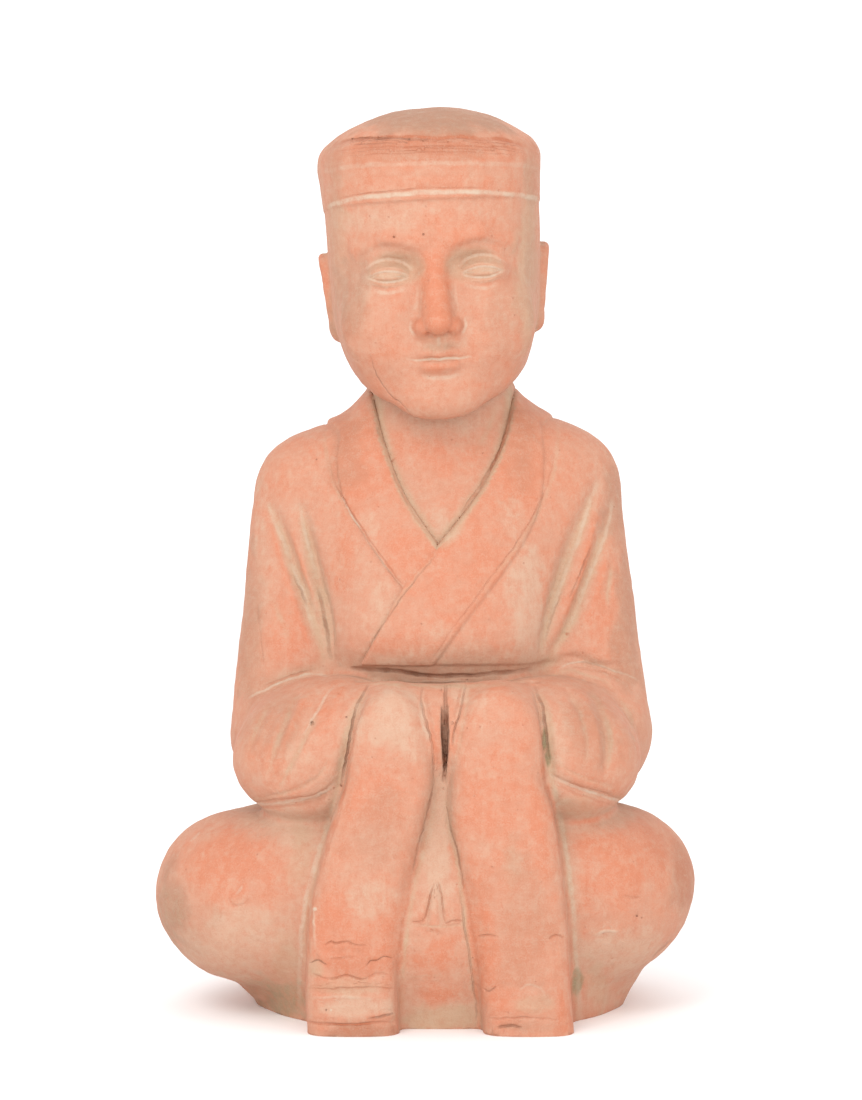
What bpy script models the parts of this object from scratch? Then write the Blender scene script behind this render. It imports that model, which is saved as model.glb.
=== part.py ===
"""A seated boy in a crossed-over robe and a low round cap, fired in terracotta as one piece.

The clay is a blend of masses: ellipsoids, tapered limbs and lofted trunks. Each mass gives rough
primitives, which Remesh joins, and a distance, on which the joined mesh then settles. Curves seen from
the front cut the garment lines. Decimate and a flat cut at the ground finish the faceted solid.
Metres. The figure faces -Y, +Z is up, and the origin is on the ground under the neck.
"""

import bmesh
import bpy
import numpy as np
from math import cos, radians, sin
from mathutils import Euler, Matrix, Vector

# The overall size. Every other size is a share of it, written as millimetres on a figure 560 mm tall.
FIGURE_HEIGHT = 0.560
UNIT = FIGURE_HEIGHT / 560.0

# How finely the clay is worked, how many facets the solid keeps, and how much finer the face stays.
ROUGH_VOXEL = 7.0 * UNIT
FINE_VOXEL = 2.4 * UNIT
FACETS = 10300
FACE_FAVOUR = 0.03 * UNIT

# Lower body
KNEE_REACH = {-1: 124.0 * UNIT, 1: 109.5 * UNIT}
KNEE_HEIGHT = {-1: 71.0 * UNIT, 1: 75.0 * UNIT}
KNEE_RADIUS = 49.5 * UNIT
HIP_RADIUS = 54.5 * UNIT
SHIN_RADIUS = 44.0 * UNIT

# Trunk and arms
SHOULDER_REACH = {-1: 80.0 * UNIT, 1: 79.5 * UNIT}
SHOULDER_HEIGHT = {-1: 318.0 * UNIT, 1: 321.0 * UNIT}
ARM_RADIUS = 37.0 * UNIT
ELBOW_REACH = {-1: 92.0 * UNIT, 1: 97.0 * UNIT}
SLEEVE_HEIGHT = 168.0 * UNIT
SLEEVE_TOP = 204.0 * UNIT
SKIN_DEPTH = 5.5 * UNIT

# Hanging sleeve panels
PANEL_FRONT = -136.0 * UNIT
PANEL_FLARE = 6.0 * UNIT
PANEL_CROWN = 3.5 * UNIT
PANEL_DEPTH = 62.0 * UNIT

# Head and cap, measured from the pivot in the neck
HEAD_PIVOT = (1.5, -12.0, 400.0)
HEAD_BOW = radians(5.0)
HEAD_LEAN = radians(-3.0)
CAP_EDGE = 98.0 * UNIT
CHIN_LEVEL = -36.0 * UNIT
FACE_BEHIND = -30.0 * UNIT


def at(x, y, z):
    """A place given in millimetres on the 560 mm figure, in metres."""
    return np.array((x, y, z), float) * UNIT


def blend(a, b, reach):
    """The distance to two masses run together, with a fillet about as wide as reach."""
    share = np.clip(0.5 + 0.5 * (b - a) / reach, 0.0, 1.0)
    return b + (a - b) * share - reach * share * (1.0 - share)


def keep(a, b, reach):
    """The distance to what two masses share, with an edge rounded by about reach."""
    return -blend(-a, -b, reach)


def carve(a, b, reach):
    """The distance to mass a with mass b taken away."""
    return -blend(-a, b, reach)


def between(p, low, high, measure):
    """What measure gives for the places between two heights, and a long way off for the others."""
    inside = (p[:, 2] > low) & (p[:, 2] < high)
    made = np.full(len(p), FIGURE_HEIGHT)
    made[inside] = measure(p[inside])
    return made


def smooth_step(t):
    """0 below 0 and 1 above 1, with a soft change between."""
    t = np.clip(t, 0.0, 1.0)
    return t * t * (3.0 - 2.0 * t)


def profile(z, *stops):
    """A size that changes smoothly with height through (height, size) stops given in millimetres."""
    heights, sizes = (np.array(column, float) * UNIT for column in zip(*stops))
    slopes = np.gradient(sizes, heights)
    z = np.clip(z, heights[0], heights[-1])
    i = np.clip(np.searchsorted(heights, z) - 1, 0, len(heights) - 2)
    gap = heights[i + 1] - heights[i]
    t = (z - heights[i]) / gap
    start = sizes[i] * (2 * t**3 - 3 * t**2 + 1) + gap * slopes[i] * (t**3 - 2 * t**2 + t)
    end = sizes[i + 1] * (3 * t**2 - 2 * t**3) + gap * slopes[i + 1] * (t**3 - t**2)
    return start + end


class Ellipsoid:
    """A round mass, turned by angles in degrees about X, Y and Z."""

    def __init__(self, centre, radii, turn=(0.0, 0.0, 0.0)):
        self.centre = np.array(centre, float)
        self.radii = np.array(radii, float)
        self.axes = np.array(Euler([radians(angle) for angle in turn]).to_matrix())

    def distance(self, p):
        q = (p - self.centre) @ self.axes
        near = np.linalg.norm(q / self.radii, axis=1)
        slope = np.linalg.norm(q / self.radii**2, axis=1)
        return near * (near - 1.0) / np.maximum(slope, 1e-9)

    def rough(self, bm):
        ball = bmesh.ops.create_icosphere(bm, subdivisions=3, radius=1.0)
        place = Matrix.Translation(Vector(self.centre)) @ Matrix(self.axes.tolist()).to_4x4()
        place = place @ Matrix.Diagonal((*self.radii, 1.0))
        bmesh.ops.transform(bm, matrix=place, verts=ball["verts"])


class Limb:
    """A mass with round ends that tapers from one point to another."""

    def __init__(self, start, end, start_radius, end_radius):
        self.start, self.end = np.array(start, float), np.array(end, float)
        self.radii = (start_radius, end_radius)

    def distance(self, p):
        run = self.end - self.start
        t = np.clip((p - self.start) @ run / (run @ run), 0.0, 1.0)
        off = np.linalg.norm(p - self.start - t[:, None] * run, axis=1)
        return off - (self.radii[0] + (self.radii[1] - self.radii[0]) * t)

    def rough(self, bm):
        for t in np.linspace(0.0, 1.0, 5):
            radius = self.radii[0] + (self.radii[1] - self.radii[0]) * t
            Ellipsoid(self.start + (self.end - self.start) * t, (radius,) * 3).rough(bm)


class Loft:
    """A mass with rounded oblong level sections. Each is (height, half width, front, back) in millimetres."""

    def __init__(self, sections, squareness=2.4, middle=((0, 0), (1, 0))):
        self.sections, self.squareness, self.middle = sections, squareness, middle

    def distance(self, p):
        z = p[:, 2]
        half = profile(z, *[(s[0], s[1]) for s in self.sections])
        front = profile(z, *[(s[0], s[2]) for s in self.sections])
        back = profile(z, *[(s[0], s[3]) for s in self.sections])
        depth = (back - front) / 2
        across = np.abs(p[:, 0] - profile(z, *self.middle)) / half
        along = np.abs(p[:, 1] - (front + back) / 2) / depth
        near = (across**self.squareness + along**self.squareness) ** (1.0 / self.squareness)
        side = (near - 1.0) * np.minimum(half, depth)
        low, high = self.sections[0][0] * UNIT, self.sections[-1][0] * UNIT
        return keep(side, np.maximum(low - z, z - high), 6.0 * UNIT)

    def rough(self, bm):
        for low, high in zip(self.sections, self.sections[1:]):
            middle = [(a + b) / 2 for a, b in zip(low, high)]
            height = (high[0] - low[0]) * 0.9
            radii = at(middle[1], (middle[3] - middle[2]) / 2, height)
            Ellipsoid(at(0, (middle[2] + middle[3]) / 2, middle[0]), radii).rough(bm)


class Panel:
    """One hanging sleeve: a thick cloth between an outer and an inner edge, seen from the front."""

    def __init__(self, outer, inner):
        self.outer, self.inner = outer, inner

    def front(self, z):
        return PANEL_FRONT - PANEL_FLARE * smooth_step(1.0 - z / SLEEVE_TOP)

    def distance(self, p):
        x, y, z = p.T
        edges = np.sort([profile(z, *self.outer), profile(z, *self.inner)], axis=0)
        side = np.maximum(edges[0] - x, x - edges[1])
        across = (2 * x - edges[0] - edges[1]) / (edges[1] - edges[0])
        front = self.front(z) - PANEL_CROWN * np.clip(1 - across**2, 0, None)
        face = np.maximum(front - y, y - front - PANEL_DEPTH)
        slab = keep(side, face, 12.0 * UNIT)
        return keep(slab, z - SLEEVE_TOP, 30.0 * UNIT)

    def rough(self, bm):
        for low, high in zip(self.outer, self.outer[1:]):
            z = (low[0] + high[0]) / 2 * UNIT
            edges = [float(profile(np.array([z]), *edge)[0]) for edge in (self.outer, self.inner)]
            half = abs(edges[0] - edges[1]) / 2
            centre = (sum(edges) / 2, self.front(z) + PANEL_DEPTH / 2, z)
            Ellipsoid(centre, (half, PANEL_DEPTH / 2, (high[0] - low[0]) * UNIT * 0.8)).rough(bm)


TRUNK = Loft(
    (
        (85, 98, -58, 112),
        (140, 92, -64, 106),
        (190, 82, -74, 95),
        (206, 79, -80, 91),
        (222, 79, -89, 88),
        (260, 82, -83, 83),
        (300, 88, -70, 80),
        (330, 89, -58, 74),
        (348, 85, -52, 68),
        (360, 73.5, -48, 62),
        (372, 58.5, -45, 55),
        (384, 46.5, -43, 48),
        (394, 42, -42, 46),
    ),
    middle=((290, 0), (330, 3), (360, 5), (394, 3)),
)
FOOT = Loft(
    (
        (-12, 112, -120, 106),
        (12, 114, -124, 109),
        (60, 103, -124, 112),
    ),
    middle=((-12, 2.5), (12, 2.5), (60, 0)),
)
WEST_PANEL = Panel(
    outer=((-12, -75), (30, -76.5), (80, -73), (122, -62), (146, -54), (181, -50), (206, -39)),
    inner=((-12, -21), (20, -22.5), (79, -17), (122, -7), (146, -2), (183, -7), (206, -9)),
)
EAST_PANEL = Panel(
    outer=((-12, 81), (21, 78), (79, 75), (129, 67.5), (149, 62), (179, 61), (206, 55)),
    inner=((-12, 28), (21, 24.7), (79, 17.3), (122, 7.5), (146, 7.5), (174, 10), (206, 16)),
)


def knee(side):
    return np.array((side * KNEE_REACH[side], -46 * UNIT, KNEE_HEIGHT[side]))


def legs():
    """Thighs out to the knees and shins crossed in front, under the robe."""
    masses = []
    for side in (-1, 1):
        hip = at(side * 46, 42, 74)
        masses.append(Limb(hip, knee(side), HIP_RADIUS, KNEE_RADIUS))
        masses.append(Limb(knee(side) + at(-side * 14, -24, -6), at(0, -86, 56), SHIN_RADIUS, 42 * UNIT))
        masses.append(Ellipsoid(at(side * 86, 6, 65), at(58, 80, 50), (0, 0, side * 14)))
        masses.append(Limb(knee(side) + at(-side * 14, 4, -20), at(side * 100, -38, 22), 21 * UNIT, 17 * UNIT))
        masses.append(Ellipsoid(at(side * 72, -72, 91), at(48, 45, 37)))
    masses.append(Limb(at(3, -98, 150), at(3, -86, 62), 27 * UNIT, 42 * UNIT))
    masses.append(Ellipsoid(at(0, -38, 84), at(112, 86, 46)))
    masses.append(Ellipsoid(at(0, 44, 88), at(110, 72, 80)))
    return masses


def arms():
    """Upper arms down to the elbows, and the sleeves brought together in front."""
    masses = []
    for side in (-1, 1):
        shoulder = np.array((side * SHOULDER_REACH[side], 3 * UNIT, SHOULDER_HEIGHT[side]))
        elbow = np.array((side * ELBOW_REACH[side], -22 * UNIT, 170 * UNIT))
        masses.append(Limb(shoulder, elbow, ARM_RADIUS, ARM_RADIUS))
        wrist = np.array((side * 38 * UNIT + 4 * UNIT, -102 * UNIT, SLEEVE_HEIGHT))
        masses.append(Limb(elbow + at(-side * 2, -14, -4), wrist, 38 * UNIT, 34 * UNIT))
        masses.append(Ellipsoid(at(side * 66, -74, 157), at(60, 52, 44), (0, 0, -side * 38)))
    return masses


NECK = Limb(at(3, -4, 325), at(*HEAD_PIVOT) + at(2.5, -2, 25), 43 * UNIT, 39 * UNIT)
CUFFS = Limb(at(-30, -102, 171), at(38, -102, 171), 31 * UNIT, 31 * UNIT)
LEGS, ARMS = legs(), arms()
HEAD_TURN = np.array(Euler((HEAD_BOW, HEAD_LEAN, 0.0)).to_matrix())


def to_head(p):
    """Body places seen from the bowed head, with its pivot as the origin."""
    return (p - at(*HEAD_PIVOT)) @ HEAD_TURN


SKULL = Loft(
    (
        (-44, 30, -64, 10),
        (-28, 40, -66, 18),
        (-10, 51, -68, 36),
        (6, 58, -70, 54),
        (30, 64, -71, 69),
        (56, 66, -72, 74),
        (80, 67, -74, 75),
        (104, 67.9, -73.5, 74.5),
        (136, 67, -70, 72),
    ),
    squareness=2.35,
)
CAP = Loft(((90, 67.9, -75, 75.5), (112, 69.2, -76, 76.5), (134, 71, -76.5, 77), (164, 71, -76.5, 77)), 2.35)
CAP_DOME = Ellipsoid(at(0, 0.5, 98), at(86, 93, 62))
CAP_ROUGH = Ellipsoid(at(0, 0.5, 112), at(70, 76, 46))


def cap_dome(q):
    """The low dome that closes the cap, run straight down below its widest level."""
    above = q.copy()
    above[:, 2] = np.maximum(q[:, 2], CAP_DOME.centre[2])
    return CAP_DOME.distance(above)


def both(mass, centre, radii, turn=(0.0, 0.0, 0.0)):
    """The same ellipsoid on the left and right of the face."""
    made = []
    for side in (-1, 1):
        made.append(mass(at(side * centre[0], *centre[1:]), at(*radii), (turn[0], side * turn[1], side * turn[2])))
    return made


FACE_SOCKETS = both(Ellipsoid, (28.5, -77, 58.5), (21, 14, 10), (0, 0, -14))
FACE_LIDS = both(Ellipsoid, (28, -57.5, 54.5), (16.5, 13.5, 9.5), (0, 0, -12))
FACE_CHEEKS = both(Ellipsoid, (33, -50, 24), (24, 18, 24))
FACE_WINGS = both(Ellipsoid, (9, -75, 22), (5.4, 7.5, 5.6))
FACE_NOSTRILS = both(Ellipsoid, (4.8, -80, 17.5), (1.9, 3.2, 1.8))
NOSE_BRIDGE = Limb(at(0, -68, 64), at(0, -81.5, 27), 5.0 * UNIT, 6.2 * UNIT)
NOSE_TIP = Ellipsoid(at(0, -82.5, 24.5), at(8, 8.2, 7.2))
NOSE_ROOT = Ellipsoid(at(0, -68, 31), at(11, 12, 19))
MUZZLE = Ellipsoid(at(0, -58, 4), at(28, 15, 18))
CHIN = Ellipsoid(at(0, -59, -20), at(21, 12, 12))


def brows():
    made = []
    for side in (-1, 1):
        inner, middle, outer = at(side * 10, -70.5, 73), at(side * 28, -66.5, 77), at(side * 47, -54, 71)
        made += [Limb(inner, middle, 2.8 * UNIT, 3.4 * UNIT), Limb(middle, outer, 3.4 * UNIT, 2.2 * UNIT)]
    return made


def lips():
    made = []
    for side in (-1, 1):
        peak, corner = at(side * 7, -73.2, 7.4), at(side * 19.5, -67, 3.4)
        made.append(Limb(at(0, -73.6, 6.2), peak, 2.8 * UNIT, 3.0 * UNIT))
        made.append(Limb(peak, corner, 3.0 * UNIT, 1.3 * UNIT))
        full = at(side * 8.5, -72, -0.6)
        made.append(Limb(at(0, -72.8, -1.2), full, 4.0 * UNIT, 3.7 * UNIT))
        made.append(Limb(full, at(side * 18, -67.2, 2.2), 3.7 * UNIT, 1.4 * UNIT))
    return made


EAR_LEAN = 7.0


def ear_parts(side):
    """The shell of one ear, its hollow and the rolled rim round it."""
    place = at(side * 64, 6, 46)
    turn = (-10, side * EAR_LEAN, side * 14)
    shell = Ellipsoid(place, at(6.0, 13, 24), turn)
    hollow = Ellipsoid(place + at(side * 6.5, -2, -1), at(4.0, 6.5, 13), turn)
    rim_line = ((-9, 4), (-8, 13), (-4, 21), (4, 24.5), (10, 20), (12, 10), (11, -1), (7, -12), (2, -21))
    out = (1.5, 2.2, 2.6, 3.0, 3.4, 3.6, 3.4, 2.8, 2.0)
    lean = sin(radians(EAR_LEAN))
    places = [place + at(side * (o + lean * z), y, z) for (y, z), o in zip(rim_line, out)]
    rim = [Limb(a, b, 3.4 * UNIT, 3.4 * UNIT) for a, b in zip(places, places[1:])]
    lobe = Ellipsoid(place + at(side * (1.5 - 21 * lean), -2, -21), at(4.5, 6.5, 7))
    return shell, hollow, rim, lobe


BROWS, LIPS = brows(), lips()
EARS = {side: ear_parts(side) for side in (-1, 1)}


def head_shape(p):
    """The distance to the head and cap, worked in the head's own directions."""
    q = to_head(p)
    under = (q - at(0, -60, -30)) @ np.array((0.0, sin(radians(22)), -cos(radians(22))))
    head = keep(SKULL.distance(q), under, 16 * UNIT)
    dome = cap_dome(q)
    head = keep(head, dome, 8 * UNIT)
    for mass in FACE_CHEEKS:
        head = blend(head, mass.distance(q), 18 * UNIT)
    for mass in (MUZZLE, CHIN):
        head = blend(head, mass.distance(q), 14 * UNIT)
    for mass in BROWS:
        head = blend(head, mass.distance(q), 6 * UNIT)
    for mass in FACE_SOCKETS:
        head = carve(head, mass.distance(q), 7 * UNIT)
    for mass in FACE_LIDS:
        head = blend(head, mass.distance(q), 3.5 * UNIT)
    nose = blend(NOSE_BRIDGE.distance(q), NOSE_TIP.distance(q), 6 * UNIT)
    nose = blend(nose, NOSE_ROOT.distance(q), 9 * UNIT)
    for mass in FACE_WINGS:
        nose = blend(nose, mass.distance(q), 3 * UNIT)
    head = blend(head, nose, 6 * UNIT)
    for mass in FACE_NOSTRILS:
        head = carve(head, mass.distance(q), 2 * UNIT)
    mouth = LIPS[0].distance(q)
    for mass in LIPS[1:]:
        mouth = blend(mouth, mass.distance(q), 1.6 * UNIT)
    head = blend(head, mouth, 3 * UNIT)
    for side in (-1, 1):
        shell, hollow, rim, lobe = EARS[side]
        ear = blend(shell.distance(q), lobe.distance(q), 5 * UNIT)
        ear = blend(ear, np.minimum.reduce([mass.distance(q) for mass in rim]), 3 * UNIT)
        head = blend(head, carve(ear, hollow.distance(q), 3 * UNIT), 4 * UNIT)
    cap = keep(CAP.distance(q), dome, 7 * UNIT)
    cap = keep(cap, CAP_EDGE - q[:, 2], 1.5 * UNIT)
    return np.minimum(head, cap)


def head_distance(p):
    """The distance to the head and cap, worked out only above the shoulders."""
    return between(p, SHOULDER_HEIGHT[-1], np.inf, head_shape)


# Edges of the crossed-over collar on the chest: (height, how far east) in millimetres, seen from the front.
COLLAR_WEST_INNER = ((270, 6), (282, 0), (293, -7.5), (312, -19.5), (339, -31.5), (373, -39.5), (400, -42))
COLLAR_WEST_OUTER = ((240, -8), (258, -21), (285, -41), (312, -56.5), (337, -66), (356, -69), (380, -70))
COLLAR_EAST_INNER = (
    (190, -59), (210, -47), (233, -34), (258, -20.5), (282, 0), (306, 20), (330, 35), (354, 44), (376, 48), (400, 50)
)
COLLAR_EAST_OUTER = ((190, -20), (210, -4), (230, 11), (257, 32), (294, 57), (337, 69), (358, 73), (380, 74))
COLLAR_RADIUS = 72.0 * UNIT
COLLAR_BACK_EDGE = 358.0 * UNIT
COLLAR_STEP = 2.6 * UNIT
ROBE_HEM = 211.0 * UNIT

# Folds seen from the front: depth, width, then (east, height) along the fold, in millimetres.
FRONT_FOLDS = (
    (4.2, 5.0, (-105, 311), (-94, 285), (-82, 250), (-71, 216)),
    (5.4, 5.0, (-84, 307), (-78, 278), (-71, 245), (-66, 214)),
    (5.0, 5.5, (100, 322), (83, 285), (71, 245), (64, 214)),
    (4.4, 5.5, (109, 311), (96, 270), (80, 232), (66, 208)),
    (3.0, 3.2, (-124, 190), (-100, 200), (-80, 206), (-62, 206)),
    (3.0, 3.2, (60, 206), (82, 215), (103, 209), (122, 198)),
    (2.0, 4.5, (-70, 202), (-79, 180), (-88, 160), (-99, 136)),
    (1.6, 4.5, (-88, 198), (-98, 182), (-107, 160), (-110, 136)),
    (4.4, 3.0, (-40, 203), (-50, 180), (-54.5, 160), (-57, 142)),
    (4.4, 3.2, (58, 202), (63, 184), (66, 160), (67, 148)),
    (2.0, 4.5, (88, 200), (98, 180), (101, 160), (99, 142)),
    (1.6, 4.0, (80, 206), (98, 197), (112, 184), (120, 170)),
    (2.6, 3.2, (-113, 128), (-92, 131), (-70, 134), (-60, 143)),
    (2.6, 3.2, (66, 148), (82, 140), (99, 135), (114, 129)),
    (1.6, 2.0, (-3, 85), (-5, 74), (-7, 64), (-14, 64)),
    (1.6, 2.0, (1, 89), (2.5, 76), (4, 64), (12, 63)),
)
# Plainer folds on the back
BACK_FOLDS = (
    (3.0, 7.0, (-74, 332), (-64, 290), (-66, 240), (-80, 188)),
    (3.0, 7.0, (72, 334), (63, 288), (67, 236), (82, 184)),
    (2.2, 6.0, (-48, 300), (-44, 262), (-50, 214)),
    (2.2, 6.0, (50, 296), (45, 256), (52, 208)),
    (2.6, 7.0, (-96, 156), (-52, 130), (0, 122), (52, 130), (96, 154)),
)
SLIT = (4.5, 176.0)
SLIT_HALF_LENGTH = 28.0
SLIT_HALF_WIDTH = 2.1


def beside(p, edge):
    """How far each place lies east of an edge, seen from the front."""
    x, z = p[:, 0], p[:, 2]
    run = 1.0 * UNIT
    slope = (profile(z + run, *edge) - profile(z - run, *edge)) / (2 * run)
    return (x - profile(z, *edge)) / np.sqrt(1.0 + slope**2)


def neck_opening(p):
    """The V between the two collar edges, from its point on the chest up to the neck."""
    side = np.maximum(-beside(p, COLLAR_WEST_INNER), beside(p, COLLAR_EAST_INNER))
    return np.maximum(side, p[:, 1] - 4 * UNIT)


def sleeve_slit(p):
    """The narrow dark slit between the two sleeve ends."""
    x, y, z = (p / UNIT).T
    long = np.clip(1 - ((z - SLIT[1]) / SLIT_HALF_LENGTH) ** 2, 0.0, None)
    side = (np.abs(x - SLIT[0]) - SLIT_HALF_WIDTH * long) * UNIT
    return np.maximum(side, (y + 125) * UNIT)


def hem_gap(p):
    """The shadow gap between the hem of the crossed robe and the tops of the sleeves."""
    return Limb(at(-46, -92, 207), at(56, -93, 207), 4.6 * UNIT, 4.6 * UNIT).distance(p)


def robe_distance(p):
    """The robed trunk and upper arms, with the neck in its open collar."""
    trunk = TRUNK.distance(p)
    robe = trunk
    for mass in ARMS[0::3]:
        robe = blend(robe, mass.distance(p), 26 * UNIT)
    robe = carve(robe, neck_opening(p), 2.5 * UNIT)
    skin = blend(trunk + SKIN_DEPTH, NECK.distance(p), 14 * UNIT)
    return np.minimum(robe, skin)


def lap_distance(p):
    """The folded legs under the robe, down to the ground."""
    lap = FOOT.distance(p)
    for mass in LEGS:
        lap = blend(lap, mass.distance(p), 22 * UNIT)
    return lap


def sleeve_distance(p):
    """The forearms in their wide sleeves, brought together and hanging down in front."""
    sleeves = ARMS[1].distance(p)
    for mass in (ARMS[2], ARMS[4], ARMS[5]):
        sleeves = blend(sleeves, mass.distance(p), 12 * UNIT)
    sleeves = blend(sleeves, CUFFS.distance(p), 6 * UNIT)
    for panel in (WEST_PANEL, EAST_PANEL):
        sleeves = blend(sleeves, panel.distance(p), 5 * UNIT)
    return sleeves


def figure_distance(p):
    """How far each place is outside the clay, before the garment lines are cut."""
    body = between(p, 60 * UNIT, 440 * UNIT, robe_distance)
    body = blend(body, between(p, -np.inf, 230 * UNIT, lap_distance), 8 * UNIT)
    body = blend(body, between(p, -np.inf, 260 * UNIT, sleeve_distance), 7 * UNIT)
    body = carve(body, between(p, 120 * UNIT, 260 * UNIT, hem_gap), 3 * UNIT)
    body = carve(body, between(p, 120 * UNIT, 260 * UNIT, sleeve_slit), 1.5 * UNIT)
    return blend(body, head_distance(p), 6 * UNIT)


def off_line(flat, knots):
    """Distance to a line seen from the front, and how far along it, from 0 to 1."""
    nearest = np.full(len(flat), np.inf)
    along = np.zeros(len(flat))
    count = len(knots) - 1
    for i in range(count):
        run = knots[i + 1] - knots[i]
        t = np.clip((flat - knots[i]) @ run / (run @ run), 0.0, 1.0)
        off = np.linalg.norm(flat - knots[i] - t[:, None] * run, axis=1)
        closer = off < nearest
        nearest[closer] = off[closer]
        along[closer] = (i + t[closer]) / count
    return nearest, along


def smooth_line(line, pieces=12):
    """More places along a soft curve through the given ones."""
    knots = np.array(line, float)
    ends = np.vstack((2 * knots[0] - knots[1], knots, 2 * knots[-1] - knots[-2]))
    made = []
    for a, b, c, d in zip(ends, ends[1:], ends[2:], ends[3:]):
        for i in range(pieces):
            t = i / pieces
            made.append(
                0.5 * (2 * b + (c - a) * t + (2 * a - 5 * b + 4 * c - d) * t**2 + (3 * b - a - 3 * c + d) * t**3)
            )
    return np.array((*made, knots[-1]))


def collar_relief(p):
    """How far the collar bands stand proud of the robe, over the chest, the shoulders and the nape."""
    edge = 1.6 * UNIT
    x, y, z = p.T
    radius = np.hypot(x - 2 * UNIT, y - 4 * UNIT)
    behind = smooth_step((y - 10 * UNIT) / (30 * UNIT))
    over = (1 - behind) * (COLLAR_RADIUS - radius) + behind * (z - COLLAR_BACK_EDGE)
    top = smooth_step((y + 52 * UNIT) / (24 * UNIT))
    west = (1 - top) * beside(p, COLLAR_WEST_OUTER) + top * over
    east = (1 - top) * -beside(p, COLLAR_EAST_OUTER) + top * over
    overlap = beside(p, COLLAR_EAST_INNER)
    on_east = smooth_step(overlap / edge + 0.5)
    above_hem = smooth_step((z - ROBE_HEM) / edge + 0.5)
    band_west = smooth_step(west / edge + 0.5) * (1 - on_east)
    band_east = smooth_step(east / edge + 0.5) * on_east
    rise = COLLAR_STEP * (0.8 * band_west + 0.55 * band_east + 0.6 * on_east * above_hem * (1 - top))
    grooves = 0.0
    for side, shown in ((west, 1 - on_east), (east, on_east), (overlap, 1 - top)):
        grooves = grooves + shown * np.exp(-((side / (1.5 * UNIT)) ** 2))
    above = smooth_step((z - ROBE_HEM) / (3 * UNIT)) * smooth_step((398 * UNIT - z) / (6 * UNIT))
    return (rise - 0.9 * UNIT * grooves) * above


def garment_relief(p, normals):
    """How far the clay is raised or cut, along its own normals, by the lines of the robe."""
    away_from_head = head_distance(p) > 3 * UNIT
    relief = collar_relief(p) * away_from_head
    for way, folds in ((-1, FRONT_FOLDS), (1, BACK_FOLDS)):
        facing = smooth_step((way * normals[:, 1] - 0.02) / 0.3)
        seen = np.nonzero((facing > 0) & (p[:, 2] < NECK.start[2] + 20 * UNIT))[0]
        for depth, width, *line in folds:
            off, along = off_line(p[seen][:, (0, 2)], smooth_line(line) * UNIT)
            taper = np.sin(np.pi * np.clip(along, 0.04, 0.96)) ** 0.6
            relief[seen] -= facing[seen] * depth * UNIT * taper * np.exp(-((off / (width * UNIT)) ** 2))
    return relief


def mesh_of(bm, name):
    mesh = bpy.data.meshes.new(name)
    bm.to_mesh(mesh)
    bm.free()
    return mesh


def evaluated_copy(mesh, name, add_modifier):
    """The mesh as it is after one modifier, as a new mesh."""
    helper = bpy.data.objects.new(name, mesh)
    bpy.context.scene.collection.objects.link(helper)
    add_modifier(helper)
    bpy.context.view_layer.update()
    made = bpy.data.meshes.new_from_object(helper.evaluated_get(bpy.context.evaluated_depsgraph_get()))
    bpy.data.objects.remove(helper)
    bpy.data.meshes.remove(mesh)
    return made


def remeshed(mesh, voxel):
    def add(helper):
        modifier = helper.modifiers.new("Remesh", "REMESH")
        modifier.mode = "VOXEL"
        modifier.voxel_size = voxel

    return evaluated_copy(mesh, "clay", add)


def rough_clay():
    """Every mass as a rough primitive, joined into one closed mesh."""
    bm = bmesh.new()
    for mass in [TRUNK, FOOT, NECK, CUFFS, WEST_PANEL, EAST_PANEL, *LEGS, *ARMS]:
        mass.rough(bm)
    head = bmesh.new()
    for mass in (SKULL, CAP_ROUGH):
        mass.rough(head)
    turn = Matrix(HEAD_TURN.tolist()).to_4x4()
    bmesh.ops.transform(head, matrix=Matrix.Translation(Vector(at(*HEAD_PIVOT))) @ turn, verts=head.verts)
    part = mesh_of(head, "head")
    bm.from_mesh(part)
    bpy.data.meshes.remove(part)
    return remeshed(mesh_of(bm, "clay"), ROUGH_VOXEL)


def points_of(mesh):
    flat = np.empty(len(mesh.vertices) * 3, np.float32)
    mesh.vertices.foreach_get("co", flat)
    return flat.reshape(-1, 3).astype(float)


def normals_of(mesh):
    flat = np.empty(len(mesh.vertices) * 3, np.float32)
    mesh.vertex_normals.foreach_get("vector", flat)
    return flat.reshape(-1, 3).astype(float)


def move_points(mesh, points):
    mesh.vertices.foreach_set("co", points.astype(np.float32).ravel())
    mesh.update()


def relax(mesh, factor):
    bm = bmesh.new()
    bm.from_mesh(mesh)
    bmesh.ops.smooth_vert(
        bm, verts=bm.verts, factor=factor, use_axis_x=True, use_axis_y=True, use_axis_z=True
    )
    bm.to_mesh(mesh)
    bm.free()


def settle(mesh, rounds, furthest):
    """Moves the points onto the blended masses, evening out their spacing on the way."""
    for turn in range(rounds):
        points = points_of(mesh)
        step = np.clip(figure_distance(points), -furthest, furthest)
        move_points(mesh, points - normals_of(mesh) * step[:, None])
        if turn < rounds - 2:
            relax(mesh, 0.4)


def cut_ground(mesh):
    """Cuts the clay flat at the ground and closes the cut."""
    bm = bmesh.new()
    bm.from_mesh(mesh)
    everything = [*bm.verts, *bm.edges, *bm.faces]
    cut = bmesh.ops.bisect_plane(
        bm, geom=everything, dist=1e-7, plane_co=(0, 0, 0), plane_no=(0, 0, -1), clear_outer=True
    )
    rim = [item for item in cut["geom_cut"] if isinstance(item, bmesh.types.BMEdge)]
    bmesh.ops.contextual_create(bm, geom=rim)
    bm.to_mesh(mesh)
    bm.free()


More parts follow.
